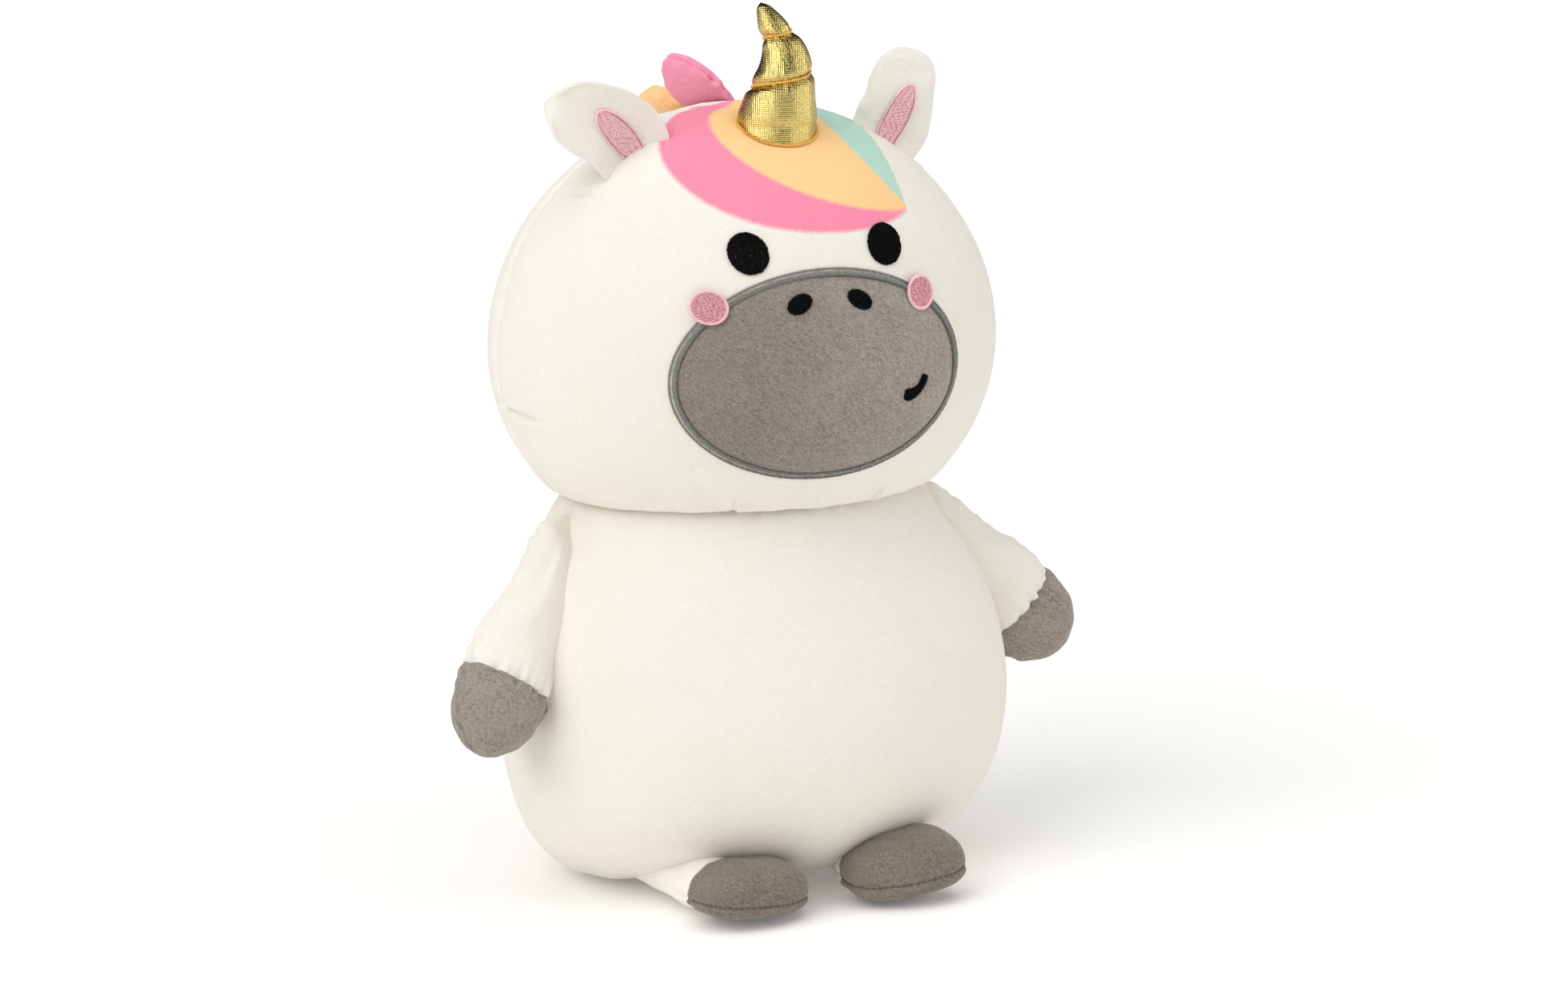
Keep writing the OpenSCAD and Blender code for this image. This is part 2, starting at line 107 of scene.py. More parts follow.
room = bpy.data.worlds.new("room")
room.use_nodes = True
room.node_tree.nodes["Background"].inputs["Color"].default_value = (1.0, 0.995, 0.985, 1)
room.node_tree.nodes["Background"].inputs["Strength"].default_value = 0.37
bpy.context.scene.world = room


# %% [markdown]
# ## Shader maths as sums
#
# A shader graph is easier to read as arithmetic. `Wire` wraps a socket, so that an expression on
# wires adds the Math nodes that work it out. Every other node comes from `add_node`, which sets a
# node's choices first and then its sockets.

# %% Wires and nodes
class Wire:
    """A socket that can be used in arithmetic."""

    def __init__(self, tree, socket):
        self.tree, self.socket = tree, socket

    def math(self, operation, *others, clamp=False):
        inputs = dict(enumerate([self, *others]))
        settings = {"operation": operation, "use_clamp": clamp}
        return add_node(self.tree, "ShaderNodeMath", settings, inputs)[0]

    def __add__(self, other):
        return self.math("ADD", other)

    def __sub__(self, other):
        return self.math("SUBTRACT", other)

    def __rsub__(self, other):
        return (self * -1) + other

    def __mul__(self, other):
        return self.math("MULTIPLY", other)

    __radd__, __rmul__ = __add__, __mul__

    def above(self, edge, softness):
        """0 well below the edge and 1 well above it, with a soft step between."""
        return self.math("SUBTRACT", edge).math("DIVIDE", softness).math("ADD", 0.5, clamp=True)


def add_node(tree, kind, settings, inputs):
    """One node: its type, its own settings, and values or wires for its sockets. Returns its outputs."""
    node = tree.nodes.new(kind)
    for key, value in settings.items():
        setattr(node, key, value)
    for key, value in inputs.items():
        if isinstance(value, Wire):
            tree.links.new(value.socket, node.inputs[key])
        else:
            node.inputs[key].default_value = value
    return [Wire(tree, socket) for socket in node.outputs]


def noise(tree, place, scale, detail=3.0, distortion=0.0):
    """Noise whose grains are about `scale` millimetres wide."""
    inputs = {"Vector": place, "Scale": 1 / (scale * MM), "Detail": detail, "Distortion": distortion}
    return add_node(tree, "ShaderNodeTexNoise", {}, inputs)[0]


def mix(tree, share, first, second):
    """A colour between two colours."""
    settings = {"data_type": "RGBA", "clamp_factor": True}
    return add_node(tree, "ShaderNodeMix", settings, {0: share, 6: first, 7: second})[2]


def tinted(tree, colour, tint):
    """A colour multiplied by another."""
    settings = {"data_type": "RGBA", "blend_type": "MULTIPLY"}
    return add_node(tree, "ShaderNodeMix", settings, {0: 1.0, 6: colour, 7: tint})[2]


def new_finish(name):
    """A new material with its tree, its shader node and a wire of object coordinates."""
    finish = bpy.data.materials.new(name)
    finish.use_nodes = True
    tree = finish.node_tree
    place = add_node(tree, "ShaderNodeTexCoord", {}, {})[3]
    return finish, tree, tree.nodes["Principled BSDF"], place


def connect(tree, wire, shader, socket):
    tree.links.new(wire.socket, shader.inputs[socket])


def bump(tree, height, depth, strength=1.0):
    """A Bump node for a height from 0 to 1 that stands for `depth` millimetres."""
    inputs = {"Height": height, "Distance": depth * MM, "Strength": strength}
    return add_node(tree, "ShaderNodeBump", {}, inputs)[0]


# %% [markdown]
# ## Velvet pile
#
# The toy is cut from a stretchy velvet with a pile of about a millimetre. Light catches the tips, so
# the cloth brightens at its edges, which is what a shader's sheen is for. The pile leans in patches
# where hands have brushed it, and close up it shows short fibres. Three sizes of noise give the
# patches, the tufts and the fibres, and the same noise drives colour and bump so that they agree.

# %% Velvet finishes
def velvet(name, colour, shade, grain, sheen, colour_of=None):
    """Velvet of one colour, with a darker shade where the pile stands. colour_of may paint a print or a
    painted sheen.
    """
    finish, tree, shader, place = new_finish(name)
    lie = {"Vector": place, "Rotation": (0, math.radians(-55), 0), "Scale": (1, 1, 2.6)}
    nap_place = add_node(tree, "ShaderNodeMapping", {"vector_type": "TEXTURE"}, lie)[0]
    patches = noise(tree, place, 24, 4, 0.6)
    tufts = noise(tree, nap_place, 0.9, 3, 0.5)
    fibres = noise(tree, nap_place, 0.35, 2)
    standing = (patches - 0.5) * (0.4 * grain) + (tufts - 0.5) * grain + (fibres - 0.5) * (1.4 * grain)
    base = colour_of(tree, place) if colour_of else colour
    pile = mix(tree, standing + 0.55, tinted(tree, base, shade), base)
    connect(tree, pile, shader, "Base Color")
    connect(tree, bump(tree, tufts * 0.65 + fibres * 0.35, 0.3, 0.6), shader, "Normal")
    shader.inputs["Roughness"].default_value = 0.92
    shader.inputs["Specular IOR Level"].default_value = 0.15
    shader.inputs["Sheen Weight"].default_value = sheen
    shader.inputs["Sheen Roughness"].default_value = 0.45
    return finish


WHITE, WHITE_SHADE = (0.87, 0.84, 0.775, 1), (0.91, 0.90, 0.875, 1)
MUZZLE_GREY = (0.30, 0.262, 0.232, 1)
HAND_GREY = (0.36, 0.315, 0.275, 1)
# The feet are the same grey plush as the hands, made darker here as painted shade from the belly above
# them.
FOOT_GREY_PAINTED_SHADE = (0.25, 0.215, 0.178, 1)
PINK, MANE_PINK = (0.95, 0.285, 0.43, 1), (0.95, 0.36, 0.51, 1)
ORANGE = (1.0, 0.65, 0.31, 1)
MINT = (0.48, 0.73, 0.63, 1)
GREY_SHADE = (0.55, 0.54, 0.53, 1)
PINK_SHADE, ORANGE_SHADE, MINT_SHADE = (0.84, 0.74, 0.78, 1), (0.88, 0.8, 0.74, 1), (0.8, 0.86, 0.84, 1)
white_velvet = velvet("white_velvet", WHITE, WHITE_SHADE, 1.0, 0.1)
# Pale end of the muzzle's painted sheen, towards the toy's left.
MUZZLE_SHEEN_PAINT = (0.43, 0.385, 0.345, 1)


def muzzle_painted_sheen(tree, place):
    """A painted sheen: the muzzle's grey pales from the toy's right towards its left, where light grazes
    it.
    """
    x = add_node(tree, "ShaderNodeSeparateXYZ", {}, {0: place})[0]
    return mix(tree, x * (0.012 / MM) + 0.35, MUZZLE_GREY, MUZZLE_SHEEN_PAINT)


muzzle_velvet = velvet("muzzle_velvet", MUZZLE_GREY, GREY_SHADE, 1.9, 0.22, muzzle_painted_sheen)
hand_velvet = velvet("hand_velvet", HAND_GREY, GREY_SHADE, 2.4, 0.25)
foot_velvet_painted_shade = velvet("foot_velvet_painted_shade", FOOT_GREY_PAINTED_SHADE, GREY_SHADE, 2.4, 0.25)
pink_velvet = velvet("pink_velvet", MANE_PINK, PINK_SHADE, 1.0, 0.1)
orange_velvet = velvet("orange_velvet", ORANGE, ORANGE_SHADE, 1.0, 0.1)
mint_velvet = velvet("mint_velvet", MINT, MINT_SHADE, 1.0, 0.1)
print("velvets:", [m.name for m in bpy.data.materials if "velvet" in m.name])

# %% [markdown]
# ## The printed forelock
#
# The forelock isn't sewn on: it is dye in the head's front panel. Each edge of a colour is a flat
# slice through the egg-shaped head, and a flat slice of a round thing is a smooth curve. So three
# planes part white from pink, pink from orange and orange from mint, and one more ends the print on
# the toy's left. Dye creeps along the pile, so the edges are about a millimetre soft.

# %% Forelock print
HEAD_LEVEL, HEAD_RISE, HEAD_DROP = 203, 89, 81
HEAD_HALF_WIDTH, HEAD_HALF_DEPTH = 97, 75
FORELOCK_PLANES = {  # a plane's normal and its distance from the origin, in millimetres
    "pink": ((0.057, -0.498, 0.865), 249.9),
    "orange": ((0.214, -0.420, 0.882), 257.0),
    "mint": ((0.712, -0.176, 0.680), 214.4),
}
FORELOCK_LEFT_EDGE = 41.6
PRINT_SOFTNESS = 0.9


def head_seam_y(z):
    """Where the seam between the head's front and back panels lies, front to back."""
    return 5 + 0.05 * (z - HEAD_LEVEL)


def forelock(tree, place):
    """The head's colour: white with the three bands of the forelock."""
    creep = (noise(tree, place, 1.6, 2) - 0.5) * 0.5
    x, y, z = add_node(tree, "ShaderNodeSeparateXYZ", {}, {0: place})
    painted = WHITE
    left = 1 - (x * (1 / MM) + creep).above(FORELOCK_LEFT_EDGE, PRINT_SOFTNESS)
    front = 1 - (y * (1 / MM) - z * (0.05 / MM)).above(head_seam_y(0), PRINT_SOFTNESS)
    for band, colour in (("pink", PINK), ("orange", ORANGE), ("mint", MINT)):
        normal, distance = FORELOCK_PLANES[band]
        settings = {"operation": "DOT_PRODUCT"}
        dot = add_node(tree, "ShaderNodeVectorMath", settings, {0: place, 1: normal})[1]
        inside = (dot * (1 / MM) + creep).above(distance, PRINT_SOFTNESS)
        painted = mix(tree, inside * left * front, painted, colour)
    return painted


head_velvet = velvet("head_velvet", WHITE, WHITE_SHADE, 1.0, 0.1, forelock)

# %% [markdown]
# ## Thread and foil
#
# Embroidery thread is smooth rayon, so it is glossier than the cloth. Its strands are real meshes
# here, and the finish adds a little change of tone from strand to strand; the cheeks' rose thread
# changes further, to a near-white pink that is partly painted sparkle highlights. The horn's cloth is
# woven and then foiled, so it is a metal with a fine grid of threads and small crinkles.

# %% Thread finishes
def thread(name, colour, tone, roughness=0.42, sheen=0.2, gloss=0.4):
    finish, tree, shader, place = new_finish(name)
    strands = noise(tree, place, 0.8, 2)
    connect(tree, mix(tree, strands * 1.6 - 0.3, colour, tone), shader, "Base Color")
    connect(tree, bump(tree, noise(tree, place, 0.25, 2), 0.05, 0.6), shader, "Normal")
    shader.inputs["Roughness"].default_value = roughness
    shader.inputs["Specular IOR Level"].default_value = gloss
    shader.inputs["Sheen Weight"].default_value = sheen
    return finish


black_thread = thread("black_thread", (0.003, 0.003, 0.003, 1), (0.007, 0.007, 0.007, 1), 0.8, 0.0, 0.05)
grey_thread = thread("grey_thread", (0.19, 0.185, 0.17, 1), (0.32, 0.31, 0.29, 1))
dark_thread = thread("dark_thread", (0.07, 0.065, 0.06, 1), (0.12, 0.11, 0.10, 1), 0.7)
pink_thread = thread("pink_thread", (0.88, 0.50, 0.57, 1), (0.96, 0.68, 0.73, 1))
# The cheek fill's pale tone is partly a change of tone from strand to strand and partly painted sparkle
# highlights.
rose_thread = thread("rose_thread", (0.50, 0.13, 0.22, 1), (0.98, 0.56, 0.63, 1))
petal_thread = thread("petal_thread", (0.80, 0.40, 0.46, 1), (0.97, 0.66, 0.70, 1))
gold_thread = thread("gold_thread", (0.72, 0.36, 0.03, 1), (0.90, 0.55, 0.09, 1))


GOLD, DARK_GOLD = (0.66, 0.53, 0.19, 1), (0.30, 0.17, 0.03, 1)
FOIL_THREAD = 0.7


def foil():
    """Foiled cloth: a bright metal with a fine weave, small crinkles and darker brown in random patches.
    """
    finish, tree, shader, place = new_finish("gold_foil")
    x, y, z = add_node(tree, "ShaderNodeSeparateXYZ", {}, {0: place})
    pitch = 2 * math.pi / (FOIL_THREAD * MM)
    weft = (z * pitch).math("SINE")
    warp = ((x - y * 0.35) * pitch).math("SINE")
    crinkles = noise(tree, place, 5.0, 3, 0.6)
    grains = noise(tree, place, 0.6, 3)
    weave = weft * 0.14 + warp * 0.14 + grains * 0.5
    dark_patches = (grains + crinkles * 0.5).above(0.95, 0.2)
    gold = mix(tree, dark_patches, GOLD, DARK_GOLD)
    connect(tree, gold, shader, "Base Color")
    connect(tree, grains * 0.16 + 0.12, shader, "Roughness")
    connect(tree, bump(tree, weave + crinkles * 1.3, 0.25, 0.95), shader, "Normal")
    shader.inputs["Metallic"].default_value = 1.0
    return finish


gold_foil = foil()


# %% Floor and cards
def plane_piece(name, width, finish):
    mesh = bpy.data.meshes.new(name)
    half = width / 2 * MM
    corners = [(-half, -half, 0), (half, -half, 0), (half, half, 0), (-half, half, 0)]
    mesh.from_pydata(corners, [], [(0, 1, 2, 3)])
    mesh.materials.append(finish)
    thing = bpy.data.objects.new(name, mesh)
    bpy.context.scene.collection.objects.link(thing)
    return thing


floor_finish, _, floor_shader, _ = new_finish("floor_paper")
floor_shader.inputs["Base Color"].default_value = (0.97, 0.957, 0.94, 1)
floor_shader.inputs["Roughness"].default_value = 0.9
floor_shader.inputs["Emission Color"].default_value = (1.0, 1.0, 1.0, 1)
floor_shader.inputs["Emission Strength"].default_value = 0.1
FLOOR_WIDTH = 30000
plane_piece("floor", FLOOR_WIDTH, floor_finish)
CARDS = {  # azimuth, elevation, distance, width, height, brightness
    "dark_front": (-2, 15, 2000, 3000, 4200, 0.0),
    "dark_back": (172, 15, 2000, 3600, 4200, 0.0),
    "dark_above": (0, 89, 2200, 3600, 3600, 0.0),
    "bright_left": (-84, 26, 1500, 700, 1900, 3.6),
    "bright_right": (58, 26, 1500, 420, 1900, 3.2),
}
for card_name, (azimuth, elevation, distance, width, height, brightness) in CARDS.items():
    card_finish, _, card_shader, _ = new_finish(card_name)
    card_shader.inputs["Base Color"].default_value = (0.02, 0.016, 0.012, 1)
    card_shader.inputs["Specular IOR Level"].default_value = 0.0
    card_shader.inputs["Emission Color"].default_value = (1.0, 0.98, 0.94, 1)
    card_shader.inputs["Emission Strength"].default_value = brightness
    card = plane_piece(card_name, 1000, card_finish)
    card.scale = (width / 1000, height / 1000, 1)
    look(card, AIM + distance * direction(azimuth, elevation), AIM)
    for ray in ("camera", "diffuse", "shadow", "transmission"):
        setattr(card, f"visible_{ray}", False)


# %% [markdown]
# ## Shapes from rows
#
# A stuffed part is a stack of oval rows. A short table says how wide and deep the part is at a few
# heights, and a smooth curve through the table gives as many rows as the cloth needs. Working with
# plain arrays keeps the rows in order, so a seam is a known column or row of points.

# %% Rows and meshes
def curve_through(table, steps):
    """Rows on a smooth curve through the rows of a table, with `steps` rows to each of its gaps."""
    rows = np.array(table, float)
    padded = np.vstack([2 * rows[0] - rows[1], rows, 2 * rows[-1] - rows[-2]])
    found = []
    for i in range(1, len(rows)):
        before, a, b, after = padded[i - 1 : i + 3]
        for t in np.arange(steps) / steps:
            tangents = (b - before) * t + (2 * before - 5 * a + 4 * b - after) * t**2
            found.append(a + 0.5 * (tangents + (3 * a - before - 3 * b + after) * t**3))
    return np.array(found + [rows[-1]])


def oval_angles(columns):
    return np.arange(columns) * 2 * math.pi / columns


def skin(rows, foot=None, tip=None, wrap=True):
    """Points and faces of a surface through rows of points, closed at either end by a pole."""
    rows = np.array(rows, float)
    count, columns = rows.shape[:2]
    points = rows.reshape(-1, 3).tolist()
    spans = range(columns if wrap else columns - 1)
    steps = [(i * columns, j, (j + 1) % columns) for i in range(count - 1) for j in spans]
    faces = [(low + j, low + k, low + columns + k, low + columns + j) for low, j, k in steps]
    if foot is not None:
        points.append(list(foot))
        faces += [((j + 1) % columns, j, len(points) - 1) for j in spans]
    if tip is not None:
        points.append(list(tip))
        top = (count - 1) * columns
        faces += [(top + j, top + (j + 1) % columns, len(points) - 1) for j in spans]
    return np.array(points), faces


def new_mesh(name, points, faces):
    """A smooth-shaded mesh object from points in millimetres."""
    mesh = bpy.data.meshes.new(name)
    mesh.from_pydata((np.array(points) * MM).tolist(), [], faces)
    mesh.polygons.foreach_set("use_smooth", [True] * len(mesh.polygons))
    mesh.update()
    thing = bpy.data.objects.new(name, mesh)
    bpy.context.scene.collection.objects.link(thing)
    return thing


def coordinates(mesh):
    found = np.zeros(len(mesh.vertices) * 3)
    mesh.vertices.foreach_get("co", found)
    return found.reshape(-1, 3) / MM


def normals(mesh):
    found = np.zeros(len(mesh.vertices) * 3)
    mesh.vertices.foreach_get("normal", found)
    return found.reshape(-1, 3)


def faces_of(mesh):
    return [tuple(p.vertices) for p in mesh.polygons]


def plain_copy(thing, name):
    """The object as its modifiers leave it, as a new plain object; the old one goes away."""
    graph = bpy.context.evaluated_depsgraph_get()
    mesh = bpy.data.meshes.new_from_object(thing.evaluated_get(graph), depsgraph=graph)
    bpy.data.objects.remove(thing)
    mesh.name = name
    made = bpy.data.objects.new(name, mesh)
    bpy.context.scene.collection.objects.link(made)
    return made


def finer(points, faces, levels, panels=None):
    """The surface after some rounds of subdivision, and which panel each of its faces belongs to."""
    thing = new_mesh("rough", points, faces)
    label = thing.data.attributes.new("panel", "INT", "FACE")
    label.data.foreach_set("value", panels or [0] * len(faces))
    subdivision = thing.modifiers.new("finer", "SUBSURF")
    subdivision.levels = subdivision.render_levels = levels
    made = plain_copy(thing, "finer")
    found = np.zeros(len(made.data.polygons), int)
    made.data.attributes["panel"].data.foreach_get("value", found)
    result = coordinates(made.data), faces_of(made.data), normals(made.data), found
    bpy.data.objects.remove(made)
    return result


# %% [markdown]
# ## Stuffing by cloth simulation
#
# Filling pushes on the cloth from inside, and the seams hold it back. Blender's Cloth does the same:
# the panels get a pressure and a little spare cloth, while the points on the seams stay where they
# are. Twenty steps are enough for the panels to swell and for small folds to gather along the seams.
# The move of each point is capped, so that a part keeps the size that the frame gives it.

# %% The stuffing step
STUFFING_STEPS = 20
PRESSURE, SPARE_CLOTH = 5.0, 0.02


def swell(points, faces, held, cap):
    """Where cloth points end when the part is stuffed. Seams keep the points in held."""
    thing = new_mesh("stuffing_form", points, faces)
    seams = thing.vertex_groups.new(name="seams")
    seams.add([int(i) for i in np.nonzero(held)[0]], 1.0, "REPLACE")
    cloth = thing.modifiers.new("cloth", "CLOTH")
    cloth.settings.vertex_group_mass = "seams"
    cloth.settings.quality = 6
    cloth.settings.mass = 0.25
    cloth.settings.bending_stiffness = 0.6
    cloth.settings.use_pressure = True
    cloth.settings.uniform_pressure_force = PRESSURE
    cloth.settings.shrink_min = -SPARE_CLOTH
    cloth.settings.effector_weights.gravity = 0
    cloth.point_cache.frame_start, cloth.point_cache.frame_end = 1, STUFFING_STEPS
    for step in range(1, STUFFING_STEPS + 1):
        bpy.context.scene.frame_set(step)
    moved = coordinates(thing.evaluated_get(bpy.context.evaluated_depsgraph_get()).data)
    bpy.data.objects.remove(thing)
    bpy.context.scene.frame_set(1)
    move = moved - points
    length = np.maximum(np.linalg.norm(move, axis=1), 1e-9)[:, None]
    print(f"  swelled by up to {length.max():.1f} mm, {len(points)} points")
    return points + move / length * np.minimum(length, cap)


def ripple(place, wavelength, seed):
    """A smooth random wave along a line, about from -1 to 1, with ripples about that far apart."""
    rng = np.random.default_rng(seed)
    total = np.zeros_like(place)
    for _ in range(7):
        length = wavelength * rng.uniform(0.6, 1.9)
        total += np.sin(2 * math.pi * place / length + rng.uniform(0, 6.28))
    return total / 3.2


def seam_dip(away, along, depth, width, gather, seed):
    """How far cloth dips near a seam: a narrow groove, and small gathers that fade away from it."""
    groove = depth * np.exp(-((away / width) ** 2))
    gathers = gather * ripple(along, 7.0, seed) * np.exp(-np.abs(away) / (3.2 * width))
    return groove + gathers


def lumps(points, size, height, seed):
    """The slow swells and hollows of filling under cloth."""
    rng = np.random.default_rng(seed)
    total = np.zeros(len(points))
    for _ in range(9):
        wave = rng.normal(size=3)
        wave *= 2 * math.pi / (size * rng.uniform(0.8, 1.8)) / np.linalg.norm(wave)
        total += np.sin(points @ wave + rng.uniform(0, 6.28))
    return height * total / 3


def clothe(name, points, faces, finish, body, slot, stands_for, fill=0.9):
    """A finished piece: a mesh with its finish that rides on a body and stands for CAD nodes."""
    piece = new_mesh(name, points, faces)
    piece.data.materials.append(finish)
    if body:
        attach(piece, body)
    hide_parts(*stands_for)
    return piece


# %% [markdown]
# ## The body
#
# The body is a pear of two panels, front and back, closed below by an oval base. It narrows to the
# neck, where it is sewn to the head. Its upper edge goes a little way up inside the head.

# %% Body cover
TORSO = [  # height, half width, half depth in front, half depth behind, centre front to back
    (1.4, 40, 26, 26, 22),
    (1.6, 57, 38, 38, 22),
    (3.6, 66.5, 44.5, 46, 17),
    (8, 75, 51, 53, 12),
    (18, 85.5, 60.5, 63, 5),
    (28, 91, 66.5, 68, 2),
    (40, 95, 71, 72, 0),
    (55, 98, 75, 75.5, 0),
    (72, 99.5, 77, 77, 0),
    (88, 98, 76, 76, 0),
    (100, 95, 73.5, 73.5, 0),
    (111, 90.5, 70, 70, 0),
    (122, 85, 65.5, 65.5, 0),
    (134, 78, 60, 60, 0),
    (146, 70.5, 54.5, 54.5, 0),
    (152, 64, 49, 49, 0),
    (154, 48, 36, 36, 0),
]
TORSO_COLUMNS = 112
TORSO_TOP = 148.6
SEAT_SHIFT = 4


def torso_rows():
    angles = oval_angles(TORSO_COLUMNS)
    for z, width, front, back, middle in curve_through(TORSO, 2):
        depth = np.where(np.sin(angles) < 0, front, back)
        shift = SEAT_SHIFT * math.cos(math.pi / 2 * min(z / TORSO_TOP, 1))
        across, along = shift + width * np.cos(angles), middle + depth * np.sin(angles)
        yield np.stack([across, along, np.full_like(angles, z)], 1)


points, faces = skin(list(torso_rows()), (SEAT_SHIFT, 22, 1.4), (0, 0, 154.2))
held = (np.abs(points[:, 1]) < 1.5) | (points[:, 2] < 3) | (points[:, 2] > 148)
points = swell(points, faces, held, 1.0)
points, faces, outward, _ = finer(points, faces, 2)
height = points[:, 2]
dip = seam_dip(points[:, 1] - 1, height, 0.9, 1.5, 0.35, 3) * (height > 12)
dip += seam_dip(height - 149, np.arctan2(points[:, 1], points[:, 0]) * 66, 0.0, 3.0, 0.25, 4)
dip += lumps(points, 60, 0.5, 5)
points = points - outward * dip[:, None]
torso_cover = clothe(
    "torso_cover", points, faces, white_velvet, None, "white_plush",
    ["torso_front_panel", "torso_back_panel", "torso_stuffing", "bead_pouch"],
)
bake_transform(torso_cover)
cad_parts["base_panel"].data.materials.clear()
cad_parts["base_panel"].data.materials.append(white_velvet)
print("body cover:", len(faces), "faces")

# %% [markdown]
# ## The head
#
# The head is an egg on its side, again of two panels. A short dart on each cheek and two tucks under
# the chin take up cloth where the panels turn. Folds of that kind are modelled as narrow grooves with
# one raised lip, after the stuffing step.

# %% Head cover
HEAD_COLUMNS = 120


def head_rows():
    angles = oval_angles(HEAD_COLUMNS)
    lifts = np.radians(np.linspace(-41.0, 84.0, 40))
    under = [(149.2, 56, 43), (149.0, 64, 49.5), (149.2, 69, 53.5)]
    for z, width, depth in under:
        yield np.stack([width * np.cos(angles), depth * np.sin(angles), np.full_like(angles, z)], 1)
    for lift in lifts:
        rise = HEAD_DROP if lift < 0 else HEAD_RISE
        z = HEAD_LEVEL + rise * math.sin(lift)
        width = HEAD_HALF_WIDTH * math.cos(lift)
        depth = HEAD_HALF_DEPTH * math.cos(lift)
        yield np.stack([width * np.cos(angles), depth * np.sin(angles), np.full_like(angles, z)], 1)


def fold(points, outward, start, end, depth, width):
    """Presses a short sewn fold into the cloth between two places, with a lip along its upper side."""
    start, end = np.array(start, float), np.array(end, float)
    line = end - start
    share = np.clip((points - start) @ line / (line @ line), 0, 1)
    apart = points - (start + share[:, None] * line)
    across = np.cross(line / np.linalg.norm(line), outward)
    side = np.einsum("ij,ij->i", apart, across)
    near = np.linalg.norm(apart, axis=1)
    fade = np.sin(np.clip(share * 0.9 + 0.1, 0, 1) * math.pi) ** 0.5
    groove = np.exp(-((side / width) ** 2))
    lip = 0.55 * np.exp(-(((side - 1.9 * width) / (1.3 * width)) ** 2))
    return depth * fade * (groove - lip) * (near < 6 * width)


points, faces = skin(list(head_rows()), (0, 0, 149.2), (0, 0, HEAD_LEVEL + HEAD_RISE))
held = (np.abs(points[:, 1] - head_seam_y(points[:, 2])) < 2.6) | (points[:, 2] < 150.5)
points = swell(points, faces, held, 0.9)
points, faces, outward, _ = finer(points, faces, 2)
x, y, z = points.T
around = np.arctan2(z - HEAD_LEVEL, x) * 90
dip = seam_dip(y - head_seam_y(z), around, 0.9, 1.5, 0.3, 11)
dip += lumps(points, 70, 0.45, 12)
for side in SIDES.values():
    dip += fold(points, outward, (side * 97.5, 4, 185), (side * 92, -24, 183), 2.0, 1.2)
    dip += fold(points, outward, (side * 80, -8, 272), (side * 68, -26, 268), 0.7, 1.6)
    dip += fold(points, outward, (side * 27, -50, 150), (side * 29, -57.5, 158), 1.1, 0.9)
dip += 0.22 * ripple(np.arctan2(y, x) * 66, 17, 13) * np.exp(-np.abs(z - 150) / 4)
points = points - outward * dip[:, None]
clothe(
    "head_cover", points, faces, head_velvet, "head", "white_plush",
    ["head_front_panel", "head_back_panel", "head_stuffing", "neck_stuffing"],
)
print("head cover:", len(faces), "faces")

# %% [markdown]
# ## Finding the cloth
#
# Everything on the face is sewn to the stuffed head, not to the smooth egg it started from. A tree
# of the head's faces answers where a needle pushed straight back at a place on the face meets cloth,
# and which way the cloth faces there.

# %% Needles
class Cloth:
    """Finds where a needle pushed straight back meets the front of a stuffed piece."""

    def __init__(self, points, faces):
        self.tree = BVHTree.FromPolygons([Vector(p) for p in points], faces)

    def at(self, across, up):
        """Place and outward normal where a needle at (across, up) meets the cloth."""
        spot, normal, _, _ = self.tree.ray_cast(Vector((across, -200, up)), Vector((0, 1, 0)))
        if spot is None:
            spot, normal, _, _ = self.tree.find_nearest(Vector((across, 0, up)))
        return spot, normal if normal.y < 0 else -normal


face_cloth = Cloth(points, faces)
print("front of the face:", [round(v, 1) for v in face_cloth.at(0, 202)[0]])


# %% [markdown]
# ## Stitches from Geometry Nodes
#
# A row of embroidery is one strand of thread repeated hundreds of times, so Geometry Nodes place it.
# The script only marks each stitch: a point with the way the thread runs, the way the cloth faces and
# half the stitch's length. The tree puts a strand on every point, gives each a slightly different
# thickness from a fixed seed, and ends in real mesh, because an export drops instances.

